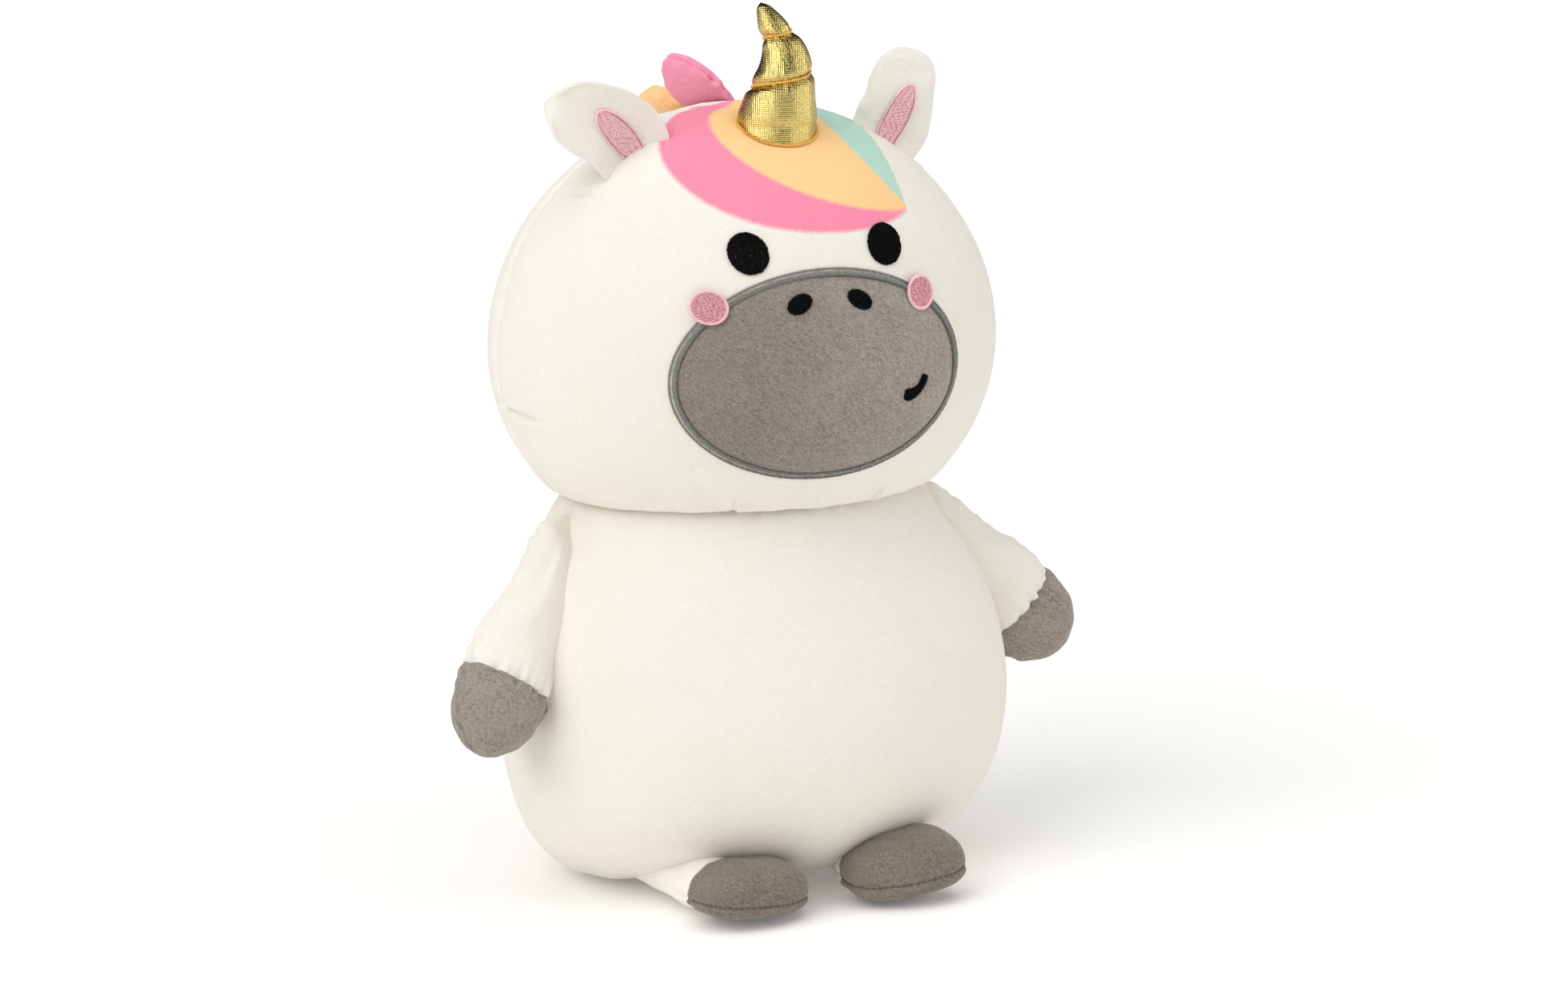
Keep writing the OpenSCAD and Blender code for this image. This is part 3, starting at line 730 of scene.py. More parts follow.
# %% The stitching tree
def stitching_tree():
    tree = bpy.data.node_groups.new("stitching", "GeometryNodeTree")
    interface = tree.interface
    interface.new_socket("Marks", in_out="INPUT", socket_type="NodeSocketGeometry")
    for name, kind in (
        ("Thread Thickness", "NodeSocketFloat"), ("Thread Height", "NodeSocketFloat"),
        ("Unevenness", "NodeSocketFloat"), ("Seed", "NodeSocketInt"), ("Finish", "NodeSocketMaterial"),
    ):
        interface.new_socket(name, in_out="INPUT", socket_type=kind)
    interface.new_socket("Stitches", in_out="OUTPUT", socket_type="NodeSocketGeometry")
    entry = {s.name: s for s in tree.nodes.new("NodeGroupInput").outputs}
    wire = {name: Wire(tree, socket) for name, socket in entry.items() if name}

    def marked(name, kind):
        settings = {"data_type": kind}
        return add_node(tree, "GeometryNodeInputNamedAttribute", settings, {"Name": name})[0]

    turn = add_node(
        tree, "FunctionNodeAxesToRotation", {"primary_axis": "X", "secondary_axis": "Z"},
        {0: marked("runs", "FLOAT_VECTOR"), 1: marked("faces", "FLOAT_VECTOR")},
    )[0]
    uneven = add_node(
        tree, "FunctionNodeRandomValue", {"data_type": "FLOAT"},
        {2: wire["Unevenness"] * -1 + 1, 3: wire["Unevenness"] + 1, "Seed": wire["Seed"]},
    )[1]
    size = add_node(
        tree, "ShaderNodeCombineXYZ", {},
        {0: marked("reach", "FLOAT"), 1: wire["Thread Thickness"] * uneven * 0.5,
         2: wire["Thread Height"] * uneven * 0.5},
    )[0]
    inputs = {"Segments": 8, "Rings": 6, "Radius": 1.0}
    strand = add_node(tree, "GeometryNodeMeshUVSphere", {}, inputs)[0]
    smooth = add_node(tree, "GeometryNodeSetShadeSmooth", {}, {0: strand})[0]
    placed = add_node(
        tree, "GeometryNodeInstanceOnPoints", {},
        {"Points": wire["Marks"], "Instance": smooth, "Rotation": turn, "Scale": size},
    )[0]
    real = add_node(tree, "GeometryNodeRealizeInstances", {}, {0: placed})[0]
    inputs = {"Geometry": real, "Material": wire["Finish"]}
    done = add_node(tree, "GeometryNodeSetMaterial", {}, inputs)[0]
    tree.links.new(done.socket, tree.nodes.new("NodeGroupOutput").inputs[0])
    return tree


STITCHING = stitching_tree()


def stitch(name, marks, finish, thickness, height, seed, unevenness=0.12):
    """A mesh of stitches. Each mark is (one end, other end, outward normal) in millimetres."""
    ends_a, ends_b, out = (np.array([list(m[i]) for m in marks]) for i in range(3))
    runs = ends_b - ends_a
    reach = np.linalg.norm(runs, axis=1) / 2
    guide = new_mesh("marks", (ends_a + ends_b) / 2 + out * height * 0.25, [])
    for label, kind, values in (
        ("runs", "FLOAT_VECTOR", runs / (2 * reach[:, None])),
        ("faces", "FLOAT_VECTOR", out), ("reach", "FLOAT", reach * MM),
    ):
        field = guide.data.attributes.new(label, kind, "POINT")
        key = "value" if kind == "FLOAT" else "vector"
        field.data.foreach_set(key, values.ravel().astype(np.float32))
    modifier = guide.modifiers.new("stitching", "NODES")
    modifier.node_group = STITCHING
    settings = {
        "Thread Thickness": thickness * MM, "Thread Height": height * MM,
        "Unevenness": unevenness, "Seed": seed, "Finish": finish,
    }
    for item in STITCHING.interface.items_tree:
        if item.item_type == "SOCKET" and item.name in settings:
            modifier[item.identifier] = settings[item.name]
    made = plain_copy(guide, name)
    print(f"  {name}: {len(marks)} stitches, {len(made.data.polygons)} faces")
    return made


def sew_on(piece, body, stands_for=()):
    """A piece of thread rides on a body and stands for its CAD nodes."""
    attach(piece, body)
    if stands_for:
        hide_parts(*stands_for)
    return piece


# %% [markdown]
# ## The muzzle
#
# The muzzle is an oval of grey velvet laid on the head. A cord of satin stitch covers its raw edge,
# and a single running line holds the cloth just outside it. The patch lies on the stuffed head and
# stands a little proud in the middle, where it has its own thin layer of filling.

# %% Muzzle patch
MUZZLE_CENTRE = (0, 202)
MUZZLE_SIZE = (55, 36)
MUZZLE_PROUD = 2.2


def oval_place(cloth, centre, size, share, angle, off=0.0, turn=0.0):
    """A place on the cloth at a share of an oval's radii, lifted off by `off`, with its normal."""
    u, v = share * size[0] * math.cos(angle), share * size[1] * math.sin(angle)
    across = centre[0] + u * math.cos(turn) - v * math.sin(turn)
    spot, normal = cloth.at(across, centre[1] + u * math.sin(turn) + v * math.cos(turn))
    return spot + normal * off, normal


def patch_rows(cloth, centre, size, rings, columns, rise, under):
    """Rows of a patch from its hidden underside, round its edge and up to its crown."""
    angles = oval_angles(columns)
    rows = [[oval_place(cloth, centre, size, 0.9, a, -under)[0] for a in angles]]
    rows.append([oval_place(cloth, centre, size, 1.0, a, -0.2)[0] for a in angles])
    for share in np.linspace(1.0, 0.06, rings):
        off = rise(share)
        rows.append([oval_place(cloth, centre, size, share, a, off)[0] for a in angles])
    return rows


def muzzle_rise(share):
    return 0.9 + MUZZLE_PROUD * (1 - share**4)


rows = patch_rows(face_cloth, MUZZLE_CENTRE, MUZZLE_SIZE, 22, 96, muzzle_rise, 1.5)
foot = oval_place(face_cloth, MUZZLE_CENTRE, MUZZLE_SIZE, 0, 0, -1.5)[0]
tip = oval_place(face_cloth, MUZZLE_CENTRE, MUZZLE_SIZE, 0, 0, muzzle_rise(0))[0]
points, faces = skin([[list(p) for p in row] for row in rows], foot, tip)
points, faces, outward, _ = finer(points, faces, 1)
points = points - outward * (lumps(points, 34, 0.28, 21))[:, None]
clothe("muzzle_cloth", points, faces, muzzle_velvet, "head", "grey_plush", ["muzzle_patch"], 0.8)
muzzle_cloth = Cloth(points, faces)

# %% Satin border
BORDER_WIDTH, LINE_AWAY = 1.3, 2.2
SATIN_PITCH, DASH = 0.5, 2.1
border_rng = np.random.default_rng(31)
perimeter = math.pi * (sum(MUZZLE_SIZE) + BORDER_WIDTH)


def beside_muzzle(angle, away, off):
    """A place on the head beside the muzzle, `away` millimetres outside its edge."""
    size = (MUZZLE_SIZE[0] + away, MUZZLE_SIZE[1] + away)
    return oval_place(face_cloth, MUZZLE_CENTRE, size, 1.0, angle, off)


marks = []
for angle in np.linspace(0, 2 * math.pi, int(perimeter / SATIN_PITCH), endpoint=False):
    ragged = border_rng.uniform(-0.15, 0.15, 2)
    inner, normal = beside_muzzle(angle, -0.7 + ragged[0], 0.9)
    outer, _ = beside_muzzle(angle + 0.012, BORDER_WIDTH + ragged[1], 0.25)
    marks.append((inner, outer, normal))
satin = stitch("muzzle_satin_border", marks, grey_thread, SATIN_PITCH * 1.05, 1.5, 32, 0.2)
sew_on(satin, "head", ["muzzle_border"])
marks = []
step = 2 * math.pi / int(perimeter / DASH)
for angle in np.arange(0, 2 * math.pi - step / 2, step):
    start, normal = beside_muzzle(angle - 0.35 * step, LINE_AWAY, 0.15)
    end, _ = beside_muzzle(angle + 1.1 * step, LINE_AWAY, 0.15)
    marks.append((start, end, normal))
running = stitch("muzzle_running_line", marks, grey_thread, 0.9, 0.9, 33)
sew_on(running, "head")


# %% [markdown]
# ## Eyes, nostrils, smile and cheeks
#
# These are filled embroidery: threads laid side by side, with staggered ends so that no line shows
# where they meet. The needle never lands twice in the same place, which gives the shapes their
# slightly ragged outline. The cheeks have an edge of satin stitch as well.

# %% Filled embroidery
def filled(cloth, centre, size, turn, off, run, stitch_length, seed, ragged=0.22, pitch=0.36):
    """Marks that fill an oval with rows of thread. turn tilts the oval and run the rows, in degrees."""
    rng = np.random.default_rng(seed)
    tilt, along = math.radians(turn), math.radians(run)
    run_way = np.array([math.cos(along), math.sin(along)])
    row_way = np.array([-run_way[1], run_way[0]])
    reach = max(size)
    marks = []
    for row in np.arange(-reach, reach, pitch):
        steps = np.linspace(-reach, reach, 220)
        places = row * row_way + steps[:, None] * run_way
        u = places @ [math.cos(tilt), math.sin(tilt)]
        v = places @ [-math.sin(tilt), math.cos(tilt)]
        inside = steps[(u / size[0]) ** 2 + (v / size[1]) ** 2 < 1]
        if len(inside) < 3:
            continue
        low = inside[0] - rng.uniform(0, ragged)
        high = inside[-1] + rng.uniform(0, ragged)
        cuts = np.arange(low - rng.uniform(0, stitch_length), high, stitch_length)
        cuts = [low, *[c for c in cuts if low + 0.5 < c < high - 0.5], high]
        for start, end in zip(cuts[:-1], cuts[1:]):
            a, normal = cloth.at(*(np.array(centre) + row * row_way + (start - 0.15) * run_way))
            b, _ = cloth.at(*(np.array(centre) + row * row_way + (end + 0.15) * run_way))
            marks.append((a + normal * off, b + normal * off, normal))
    return marks


def edged(cloth, centre, size, turn, off, width, pitch=0.36):
    """Marks of a satin edge round an oval."""
    count = int(math.pi * (size[0] + size[1]) / pitch)
    marks = []
    for i in range(count):
        angle = 2 * math.pi * i / count
        inner = oval_place(cloth, centre, size, 1 - width / max(size), angle, off, math.radians(turn))
        outer = oval_place(cloth, centre, size, 1.0, angle + 0.03, off, math.radians(turn))
        marks.append((inner[0], outer[0], inner[1]))
    return marks


EYE_PLACE, EYE_SIZE = (27, 246.5), (7.3, 7.1)
CHEEK_PLACE = {"right": (-43.2, 228.4), "left": (38.6, 228.4)}
CHEEK_SIZE = {"right": (6.6, 6.0), "left": (6.0, 6.2)}
NOSTRIL_PLACE, NOSTRIL_SIZE = (12, 229), (5.0, 3.1)
for side_name, side in SIDES.items():
    marks = filled(face_cloth, (side * EYE_PLACE[0], EYE_PLACE[1]), EYE_SIZE, 0, 0.25, 90, 3.4, 41)
    eye = stitch(f"{side_name}_eye_embroidery", marks, black_thread, 0.5, 0.9, 42)
    sew_on(eye, "head", [f"{side_name}_eye"])

# %% Cheeks
CHEEK_OFF = 1.7
for side_name, side in SIDES.items():
    place = CHEEK_PLACE[side_name]
    size = CHEEK_SIZE[side_name]
    marks = filled(face_cloth, place, (size[0] - 0.9, size[1] - 0.9), 0, CHEEK_OFF, 20 * side, 1.8, 43)
    fill_threads = stitch(f"{side_name}_cheek_fill", marks, rose_thread, 0.5, 0.9, 44)
    sew_on(fill_threads, "head", [f"{side_name}_cheek"])
    marks = edged(face_cloth, place, size, 0, CHEEK_OFF + 0.15, 1.2)
    edge_threads = stitch(f"{side_name}_cheek_edge", marks, pink_thread, 0.5, 1.4, 45)
    sew_on(edge_threads, "head")

# %% Nostrils and smile
marks = []
for side in SIDES.values():
    place = (side * NOSTRIL_PLACE[0], NOSTRIL_PLACE[1])
    marks += filled(muzzle_cloth, place, NOSTRIL_SIZE, -24 * side, 0.15, 90, 3.0, 46)
nostrils = stitch("nostril_embroidery", marks, black_thread, 0.5, 0.9, 47)
sew_on(nostrils, "head", ["nostrils"])
SMILE = [(29.6, 193.4), (31.6, 193.0), (34.2, 193.5), (36.6, 195.0), (38.3, 197.2), (39.2, 199.6)]
SMILE_HALF_WIDTH = [2.0, 2.5, 2.2, 2.0, 2.0, 1.8]
smile_line = curve_through([(*p, w) for p, w in zip(SMILE, SMILE_HALF_WIDTH)], 7)
marks = []
for (x0, z0, w0), (x1, z1, _) in zip(smile_line[:-1], smile_line[1:]):
    along = np.array([x1 - x0, z1 - z0])
    across = np.array([-along[1], along[0]]) / np.linalg.norm(along)
    inner = muzzle_cloth.at(*(np.array([x0, z0]) + across * w0))
    outer = muzzle_cloth.at(*(np.array([x0, z0]) - across * w0))
    marks.append((inner[0] + inner[1] * 0.15, outer[0] + inner[1] * 0.15, inner[1]))
smile = stitch("smile_embroidery", marks, black_thread, 0.5, 0.9, 48)
sew_on(smile, "head", ["mouth"])

# %% [markdown]
# ## Limbs, ears, mane and tail
#
# All of these are flat-lobed pieces: two equal panels sewn round their edge, turned out and filled.
# A table gives half the width and half the thickness at distances from the root. One function stuffs
# any of them in its own frame, where the root is at the origin and the piece points along +Z, and a
# matrix then puts it in its place on the toy.

# %% Placing frames
def moved(x, y, z):
    return Matrix.Translation((x, y, z))


def turned(axis, degrees):
    return Matrix.Rotation(math.radians(degrees), 4, axis)


ARM_OUT = {"right": 31, "left": 45}
ARM_FORWARD = {"right": 22, "left": 1}
SHOULDER = {"right": (-79, -7, 130.5), "left": (75.5, -3, 130.5)}
HIP = {"right": (-41, -17, 11.2), "left": (41, -17, 11.2)}
TOE_IN = {"right": 15, "left": 6}
LEG_RISE = 1.2
ARM_ROLL = {"right": -18, "left": 0}  # brings the right arm's seam towards the front
LEG_ROLL = {"right": -4, "left": 6}  # leg covers are rolled, moved and filled a little unlike their solids
LEG_NUDGE = {"right": (2.4, 0, 0), "left": (-0.6, 0, 1.8)}
LEG_FULLNESS = {"right": 0.92, "left": 1.1}
EAR_ROOT, EAR_SLOPE, EAR_FOOT = (51.5, -11, 278.6), 30, 1.6
EAR_OUT = {"right": 68, "left": 14}
EAR_CUP = {"right": 7.5, "left": 3.0}
EAR_LENGTH = {"right": 1.03, "left": 0.94}


def shoulder_frame(side_name):
    lean = 180 - SIDES[side_name] * ARM_OUT[side_name]
    roll = turned("Z", ARM_ROLL[side_name])
    return moved(*SHOULDER[side_name]) @ turned("X", -ARM_FORWARD[side_name]) @ turned("Y", lean) @ roll


def hip_frame(side_name):
    turn = turned("Z", -SIDES[side_name] * TOE_IN[side_name])
    nudge = moved(*LEG_NUDGE[side_name])
    roll = turned("Z", LEG_ROLL[side_name])
    return nudge @ moved(*HIP[side_name]) @ turn @ turned("X", 90 - LEG_RISE) @ roll


def ear_frame(side_name):
    side = SIDES[side_name]
    root = moved(side * EAR_ROOT[0], *EAR_ROOT[1:]) @ turned("Y", side * EAR_SLOPE)
    return root @ moved(0, 0, EAR_FOOT)


def crest_frame(back, lean, over):
    """A frame on the head's middle line, `back` degrees behind the crown, tipped `over` to the right."""
    a = math.radians(back)
    slope = math.degrees(math.atan2(HEAD_HALF_DEPTH * math.cos(a), HEAD_RISE * math.sin(a)))
    place = moved(0, HEAD_HALF_DEPTH * math.sin(a), HEAD_LEVEL + HEAD_RISE * math.cos(a))
    upright = place @ turned("X", slope - 90) @ moved(0, 0, 2.2) @ turned("Z", 90)
    return upright @ turned("Y", lean) @ turned("X", -over)


def tail_frame(y, z, angle):
    return moved(TAIL_X, y, z) @ turned("X", angle - 90) @ turned("Z", 90)


# %% Flat-lobed pieces
def bend_place(distance, bend, over):
    """Centre and lean of a piece that bends sideways by `bend` degrees over its first `over` mm."""
    share = min(max(distance, 0) / over, 1)
    lean = math.radians(bend) * share
    if abs(bend) < 0.01:
        return np.array([0, 0, distance]), 0.0
    radius = over / math.radians(bend)
    past = max(distance - over, 0)
    x = radius * (1 - math.cos(lean)) + past * math.sin(lean)
    return np.array([x, 0, radius * math.sin(lean) + past * math.cos(lean) + min(distance, 0)]), lean


def lobe_rows(table, columns, steps, bend=0.0, over=1.0, drop=0.0, cup=0.0, full=1.0):
    """Rows of a lobe. drop lowers its side seam, cup brings its edges forward, full < 1 squares it."""
    angles = oval_angles(columns)
    sines = np.sign(np.sin(angles)) * np.abs(np.sin(angles)) ** full
    cosines = np.sign(np.cos(angles)) * np.abs(np.cos(angles)) ** full
    for distance, width, thick in curve_through(table, steps):
        centre, lean = bend_place(distance, bend, over)
        middle = -drop * min(max(distance, 0) / 30, 1)
        half = np.where(np.sin(angles) > 0, thick - middle, thick + middle)
        across = max(width, 0.5) * cosines
        yield np.stack(
            [centre[0] + across * math.cos(lean), middle + half * sines - cup * cosines**2,
             centre[2] - across * math.sin(lean)], 1)


def stuff_lobe(
    table, tip, columns, cap, bend=0.0, over=1.0, drop=0.0, cup=0.0, full=1.0, ring=None
):
    """A stuffed lobe in its own frame. Faces past the table's `ring` row belong to panel 1."""
    steps = 2
    levels = 2
    rows = list(lobe_rows(table, columns, steps, bend, over, drop, cup, full))
    foot = bend_place(table[0][0] - 0.3, bend, over)[0]
    end = bend_place(tip, bend, over)[0] - np.array([0, drop * 0.8, 0])
    points, faces = skin(rows, foot, end)
    column = np.arange(len(points)) % columns
    held = (column == 0) | (column == columns // 2)
    held[: 2 * columns] = True
    held[-2:] = True
    last_sleeve = len(faces) if ring is None else ring * steps * columns
    if ring is not None:
        held[ring * steps * columns : (ring * steps + 1) * columns] = True
    points = swell(points, faces, held, cap)
    tube = (len(rows) - 1) * columns
    panels = [int(i >= last_sleeve and (i < tube or i >= tube + columns)) for i in range(len(faces))]
    return finer(points, faces, levels, panels)


def press_seams(points, outward, seam_place, gather, groove, lump, seed, rings=()):
    """Presses a lobe's side seam, its ring seams and the unevenness of its filling into the cloth."""
    x, y, z = points.T
    edge = np.abs(outward[:, 1]) < 0.8
    dip = seam_dip(y - seam_place, z + 40 * (x > 0), groove, 0.8, gather, seed) * edge
    for number, ring in enumerate(rings):
        around = np.arctan2(y, x) * 18
        wander = 0.5 * ripple(around, 9, seed + number)
        dip += seam_dip(z - ring - wander, around, groove * 1.2, 1.0, gather * 1.3, seed + 5 + number)
    dip += lumps(points, 24, lump, seed + 20)
    return points - outward * dip[:, None]


def settle(points, place, floor_level=None):
    """Points moved to their place on the toy, and pressed flat where they meet the floor."""
    placed = np.array([list(place @ Vector(p)) for p in points])
    if floor_level is not None:
        low = placed[:, 2] < floor_level
        placed[low, 2] = floor_level + 0.02 * (placed[low, 2] - floor_level)
    return placed


def one_panel(points, faces, chosen):
    """The points and faces of one panel."""
    kept = [f for f, keep in zip(faces, chosen) if keep]
    used = sorted({i for f in kept for i in f})
    number = {old: new for new, old in enumerate(used)}
    return points[used], [tuple(number[i] for i in f) for f in kept]


# %% [markdown]
# ## Arms
#
# An arm hangs from the shoulder. The sleeve is white and the hoof is grey, sewn on round the end
# before the whole is turned out. Its two panels meet in a seam down each side, and the cloth puckers
# where that seam crosses the hoof's.

# %% Arms
ARM = [  # distance from the shoulder, half width, half thickness
    (-14, 6, 2.5), (-8, 10.3, 5), (0, 12.6, 7.6), (12, 13.8, 9.6), (26, 15.8, 11.5), (40, 17.9, 12.9),
    (53, 18.7, 13.6), (61, 18, 13.4), (69, 15.8, 12.2), (75, 11.6, 9.6), (79, 6.4, 6),
]
ARM_TIP, ARM_RING = 80.6, 6
ARM_SEED = {"right": 91, "left": 103}

for side_name in SIDES:
    points, faces, outward, panels = stuff_lobe(ARM, ARM_TIP, 40, 1.2, full=0.9, ring=ARM_RING)
    seed = ARM_SEED[side_name]
    points = press_seams(points, outward, 0, 1.0, 1.0, 0.4, seed, [ARM[ARM_RING][0]])
    points = settle(points, shoulder_frame(side_name))
    sleeve = clothe(
        f"{side_name}_sleeve", *one_panel(points, faces, panels == 0), white_velvet, f"{side_name}_arm",
        "white_plush",
        [f"{side_name}_sleeve_front", f"{side_name}_sleeve_back", f"{side_name}_arm_stuffing"],
    )
    hoof = clothe(
        f"{side_name}_hand_hoof", *one_panel(points, faces, panels == 1), hand_velvet, f"{side_name}_arm",
        "grey_plush", [f"{side_name}_hand_hoof_front", f"{side_name}_hand_hoof_back"],
    )
    print(f"{side_name} arm: {len(sleeve.data.polygons)} and {len(hoof.data.polygons)} faces")

# %% [markdown]
# ## Legs
#
# A leg lies on the floor and points forward, with the toes turned a little in. Its hoof is a top and
# a sole, joined by a dark running stitch low on the side, and the stitch sinks into the seam.

# %% Legs
LEG = [
    (-8, 13.4, 3.6), (-4.4, 16.8, 7.4), (0, 18, 8.6), (12, 19.2, 9.6), (24, 20.6, 10.4), (38, 22.4, 11),
    (45, 23, 11.2), (52, 22.4, 11), (57.5, 19.6, 9.8), (61.5, 14.4, 7.8), (64, 8, 4.8),
]
LEG_TIP, LEG_RING, SEAM_DROP = 65.2, 5, 3.6


def leg_seam(z):
    return -SEAM_DROP * np.clip(z / 30, 0, 1)


for side_name in SIDES:
    table = [(along, width, thick * LEG_FULLNESS[side_name]) for along, width, thick in LEG]
    points, faces, outward, panels = stuff_lobe(
        table, LEG_TIP, 44, 0.8, drop=SEAM_DROP, full=0.8, ring=LEG_RING)
    seed = 90 + SIDES[side_name]
    seam_place = leg_seam(points[:, 2])
    points = press_seams(points, outward, seam_place, 0.3, 0.8, 0.25, seed, [LEG[LEG_RING][0]])
    place = hip_frame(side_name)
    local_tree = BVHTree.FromPolygons([Vector(p) for p in points], faces)
    marks = []
    for start in np.arange(0, 1, 1 / 40):
        ends = []
        for share in (start, start + 0.6 / 40):
            angle = math.radians(-20 + 220 * share)
            inside = Vector((8 * math.cos(angle), -SEAM_DROP, 46))
            away = Vector((math.cos(angle), 0, math.sin(angle)))
            spot, normal, _, _ = local_tree.ray_cast(inside, away)
            ends.append((place @ (spot + normal * 0.05), place.to_3x3() @ normal))
        marks.append((ends[0][0], ends[1][0], ends[0][1]))
    points = settle(points, place, 0.7)
    clothe(
        f"{side_name}_leg_cover", *one_panel(points, faces, panels == 0), white_velvet, f"{side_name}_leg",
        "white_plush", [f"{side_name}_leg_top", f"{side_name}_leg_under", f"{side_name}_leg_stuffing"],
    )
    clothe(
        f"{side_name}_foot_hoof", *one_panel(points, faces, panels == 1), foot_velvet_painted_shade, f"{side_name}_leg",
        "grey_plush", [f"{side_name}_foot_hoof_top", f"{side_name}_foot_hoof_sole"],
    )
    dashes = stitch(f"{side_name}_foot_stitches", marks, dark_thread, 0.7, 0.6, 71)
    sew_on(dashes, f"{side_name}_leg")

# %% [markdown]
# ## Ears
#
# An ear is a small leaf of two panels, sewn into the head's seam and folded over by the way it was
# stuffed. On its front is a filled oval of pink thread.

# %% Ears
EAR = [
    (-6, 14.2, 2.2), (0, 15.2, 3.0), (4, 15.6, 4.4), (10, 15, 5.4), (18, 13.9, 5.8), (25, 12.5, 5.6),
    (30, 10, 5.0), (33.2, 6.6, 3.8),
]
EAR_TIP, EAR_BEND_LENGTH = 35, 14
EAR_PATCH_AT, EAR_PATCH_SIZE = 5.5, (5.3, 14.5)

for side_name, side in SIDES.items():
    bend = side * (EAR_OUT[side_name] - EAR_SLOPE)
    length = EAR_LENGTH[side_name]
    table = [(along * length, width, thick) for along, width, thick in EAR]
    points, faces, outward, _ = stuff_lobe(
        table, EAR_TIP * length, 36, 0.7, bend, EAR_BEND_LENGTH, cup=EAR_CUP[side_name])
    points = press_seams(points, outward, 0, 0.22, 0.5, 0.15, 100 + side)
    ear_cloth = Cloth(points, faces)
    place = ear_frame(side_name)
    centre, lean = bend_place(EAR_PATCH_AT, bend, EAR_BEND_LENGTH)
    tilt = -math.degrees(lean)
    middle = (centre[0], centre[2])
    inner_size = (EAR_PATCH_SIZE[0] - 0.9, EAR_PATCH_SIZE[1] - 0.9)
    fill_marks = filled(ear_cloth, middle, inner_size, tilt, 0.1, tilt, 2.6, 51)
    edge_marks = edged(ear_cloth, middle, EAR_PATCH_SIZE, tilt, 0.2, 1.3)
    fill_marks, edge_marks = (
        [(place @ a, place @ b, place.to_3x3() @ n) for a, b, n in found]
        for found in (fill_marks, edge_marks)
    )
    clothe(
        f"{side_name}_ear_cover", settle(points, place), faces, white_velvet, f"{side_name}_ear",
        "white_plush", [f"{side_name}_ear_front", f"{side_name}_ear_back", f"{side_name}_ear_stuffing"],
    )
    patch = stitch(f"{side_name}_ear_fill", fill_marks, petal_thread, 0.55, 0.9, 52)
    sew_on(patch, f"{side_name}_ear", [f"{side_name}_ear_patch"])
    patch_edge = stitch(f"{side_name}_ear_edge", edge_marks, pink_thread, 0.5, 1.3, 53)
    sew_on(patch_edge, f"{side_name}_ear")

# %% [markdown]
# ## Mane and tail
#
# Three coloured lobes stand along the top of the head, one behind the other, each with its seam up
# the middle line of the toy. Three smaller and rounder ones make the tail.

# %% Mane
LOBE = [
    (-4.5, 9.5, 1.8), (0, 11.6, 2.4), (4, 13, 4.2), (9, 13.4, 6.1), (15, 12.2, 6.5), (20, 9.4, 5.4),
    (23.5, 5.6, 3.6),
]
LOBE_TIP, LOBE_BEND, LOBE_BEND_LENGTH = 25.4, 16, 24
MANE = {  # degrees behind the crown, lean forward, tip over to the right, finish
    "pink": (18, 0, 46, pink_velvet),
    "orange": (38, -3, 40, orange_velvet),
    "mint": (58, 2, 34, mint_velvet),
}
for number, (colour, (back, lean, over, finish)) in enumerate(MANE.items()):
    points, faces, outward, _ = stuff_lobe(LOBE, LOBE_TIP, 36, 1.3, LOBE_BEND, LOBE_BEND_LENGTH)
    points = press_seams(points, outward, 0, 0.8, 0.9, 1.1, 110 + number)
    points = settle(points, crest_frame(back, lean, over))
    clothe(
        f"{colour}_mane_lobe", points, faces, finish, f"mane_{colour}", f"{colour}_plush",
        [f"mane_{colour}_cover", f"mane_{colour}_stuffing"],
    )

# %% Tail
TAIL = [(-3, 2.2, 1.6), (0, 2.6, 2), (5, 4.6, 4.2), (11, 6.6, 6), (17, 6.8, 6), (21, 4.8, 4.2)]
TAIL_TIP = 23.5
TAIL_X = 3
TAIL_ROOTS = {"pink": (78.6, 68, 24), "orange": (79, 59.5, 0), "mint": (78.6, 51, -24)}
for number, (colour, root) in enumerate(TAIL_ROOTS.items()):
    points, faces, outward, _ = stuff_lobe(TAIL, TAIL_TIP, 28, 0.4)
    points = press_seams(points, outward, 0, 0.2, 0.4, 0.15, 120 + number)
    stands_for = [f"tail_{colour}"] + (["tail_stuffing"] if colour == "pink" else [])
    clothe(
        f"{colour}_tail_lobe", settle(points, tail_frame(*root)), faces, MANE[colour][3], "tail",
        f"{colour}_plush", stands_for,
    )

# %% [markdown]
# ## The horn
#
# The horn is a cone of foiled cloth, wound with a thread that is pulled tight. The thread climbs
# slowly across the front and steeply behind, and the cloth bulges between its turns. So the height of
# the thread is a smooth curve over the angle, and each point of the cone knows how far it is from the
# turn below it and from the turn above.

# %% Horn
HORN = [  # centre, radius and lean of rings
    ((1.5, -25.6, 284.6), 14.0, 24), ((1.6, -26, 287.2), 14.4, 23), ((2.1, -27, 292.5), 13.3, 20),
    ((2.1, -28.2, 297.5), 12.1, 15), ((2.7, -29.3, 303), 10.7, 10), ((3.5, -29.8, 309), 9.0, 4),
    ((3.1, -29.3, 315), 7.4, 0), ((0.6, -28.2, 320.5), 5.9, -8), ((-1.4, -26.4, 325.5), 4.4, -18),
    ((-3, -24.4, 329.5), 2.5, -26),
]
HORN_RINGS = [(*centre, radius, lean) for centre, radius, lean in HORN]
HORN_TIP = (-3.8, -23.4, 331.3)
HORN_BASE, WINDING_ENDS = 286, (-180, 700)
WINDING = [(-180, 290.5), (0, 301), (180, 306.5), (360, 318.5), (540, 321.5), (700, 328)]
HORN_LEFT = math.radians(VIEW_AZIMUTH + 180)


def winding_height(turn):
    """Height of the thread after it has gone round by `turn` degrees from the viewer's left."""
    places, heights = np.array(WINDING, float).T
    return smooth_table(turn, places, heights)


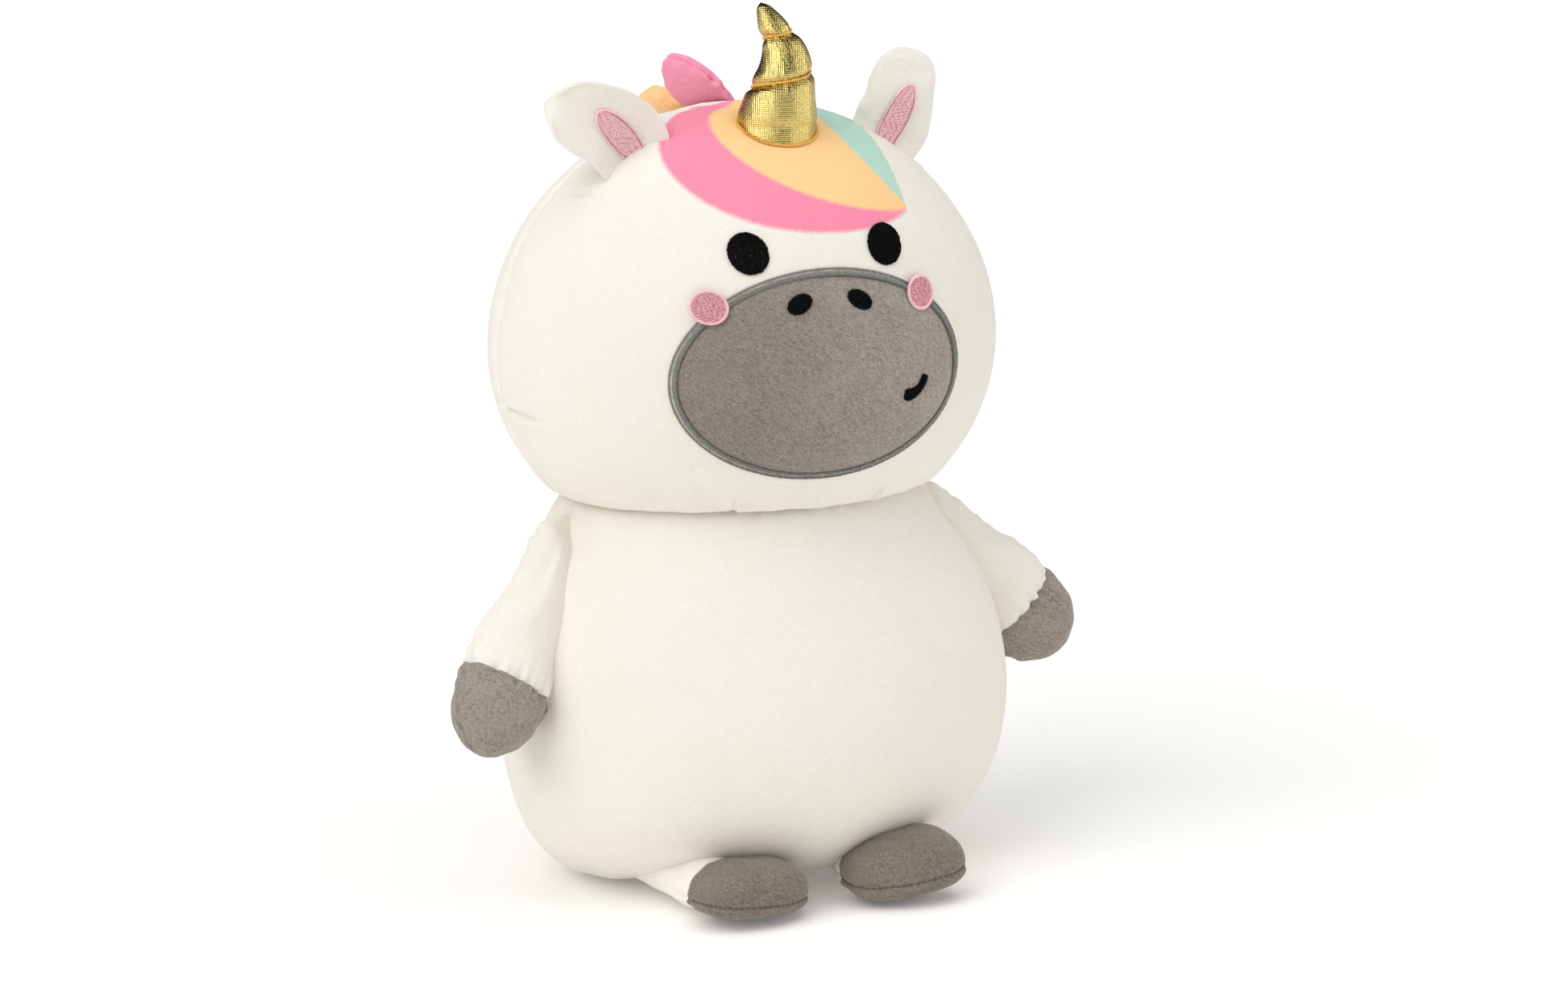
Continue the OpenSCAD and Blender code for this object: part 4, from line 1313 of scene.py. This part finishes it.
def smooth_table(x, places, heights):
    """A smooth curve through a table, which never turns back between two of its rows."""
    slopes = np.diff(heights) / np.diff(places)
    tangents = np.concatenate([[slopes[0]], 2 / (1 / slopes[1:] + 1 / slopes[:-1]), [slopes[-1]]])
    i = np.clip(np.searchsorted(places, x) - 1, 0, len(slopes) - 1)
    width = places[i + 1] - places[i]
    t = (x - places[i]) / width
    return (
        (2 * t**3 - 3 * t**2 + 1) * heights[i] + (t**3 - 2 * t**2 + t) * width * tangents[i]
        + (3 * t**2 - 2 * t**3) * heights[i + 1] + (t**3 - t**2) * width * tangents[i + 1]
    )


def horn_centre(height):
    """Place, radius and lean of the horn's ring at that height."""
    columns = np.array(HORN_RINGS).T
    return np.array([np.interp(height, columns[2], column) for column in columns])


def horn_rows(columns, steps):
    angles = oval_angles(columns)
    for x, y, z, radius, lean in curve_through(HORN_RINGS, steps):
        t = math.radians(lean)
        u, v = radius * np.cos(angles), radius * np.sin(angles)
        yield np.stack([x + u, y + v * math.cos(t), z + v * math.sin(t)], 1)


def turn_of(points):
    """How far round the horn points lie, in degrees from the viewer's left by way of the front."""
    middle = horn_centre(points[:, 2])
    angle = np.degrees(np.arctan2(points[:, 1] - middle[1], points[:, 0] - middle[0]))
    return (angle - math.degrees(HORN_LEFT)) % 360


points, faces = skin(list(horn_rows(72, 6)), HORN[0][0], HORN_TIP)
points, faces, outward, _ = finer(points, faces, 1)
turn = turn_of(points)
crossings = np.array([winding_height(np.clip(turn + 360 * n, *WINDING_ENDS)) for n in (-1, 0, 1)])
crossings[0][turn < 180] = HORN_BASE
gap = np.abs(points[:, 2] - crossings).min(axis=0)
press = 1.7 * np.exp(-((gap / 1.7) ** 2)) - 0.6
fade = np.clip((330 - points[:, 2]) / 12, 0.1, 1) * np.clip((points[:, 2] - HORN_BASE) / 5, 0, 1)
wrinkles = 0.28 * ripple(turn / 57 * 12 + points[:, 2] * 0.4, 5, 130) * np.exp(-gap / 4)
points = points - outward * ((press * fade + wrinkles * fade)[:, None])
clothe("horn_skin", points, faces, gold_foil, "horn", "gold_lame", ["horn_cover", "horn_stuffing"])
horn_tree = BVHTree.FromPolygons([Vector(p) for p in points], faces)

# %% Winding thread and base edge
marks = []
for turn in np.arange(-170, 690, 5.2):
    ends = []
    for offset, lift in ((-4.2, -0.35), (4.2, 0.35)):
        height = float(winding_height(np.array(turn + offset))) + lift
        x, y, z, radius, lean = horn_centre(height)
        angle = math.radians(turn + offset) + HORN_LEFT
        outside = Vector((x + 40 * math.cos(angle), y + 40 * math.sin(angle), height))
        spot, normal, _, _ = horn_tree.ray_cast(outside, Vector((x, y, height)) - outside)
        ends.append((spot + normal * 0.2, normal))
    marks.append((ends[0][0], ends[1][0], ends[0][1]))
winding = stitch("horn_winding", marks, gold_thread, 0.85, 0.95, 131)
sew_on(winding, "horn", ["horn_thread"])

HORN_FOOT, HORN_FOOT_SIZE, ABOVE_HEAD = (1.5, -25.8), (14.7, 12.9), 340
marks = []
for angle in np.radians(np.arange(0, 360, 2.0)):
    ends = []
    for share, slant in ((0.97, 0), (1.06, 0.02)):
        u = HORN_FOOT[0] + HORN_FOOT_SIZE[0] * share * math.cos(angle + slant)
        v = HORN_FOOT[1] + HORN_FOOT_SIZE[1] * share * math.sin(angle + slant)
        spot, normal, _, _ = face_cloth.tree.ray_cast(Vector((u, v, ABOVE_HEAD)), Vector((0, 0, -1)))
        ends.append((spot + normal * 0.35, normal))
    marks.append((ends[0][0], ends[1][0], ends[0][1]))
horn_base_stitches = stitch("horn_base_stitches", marks, gold_thread, 0.55, 0.9, 132)
sew_on(horn_base_stitches, "head", ["horn_base_seam"])
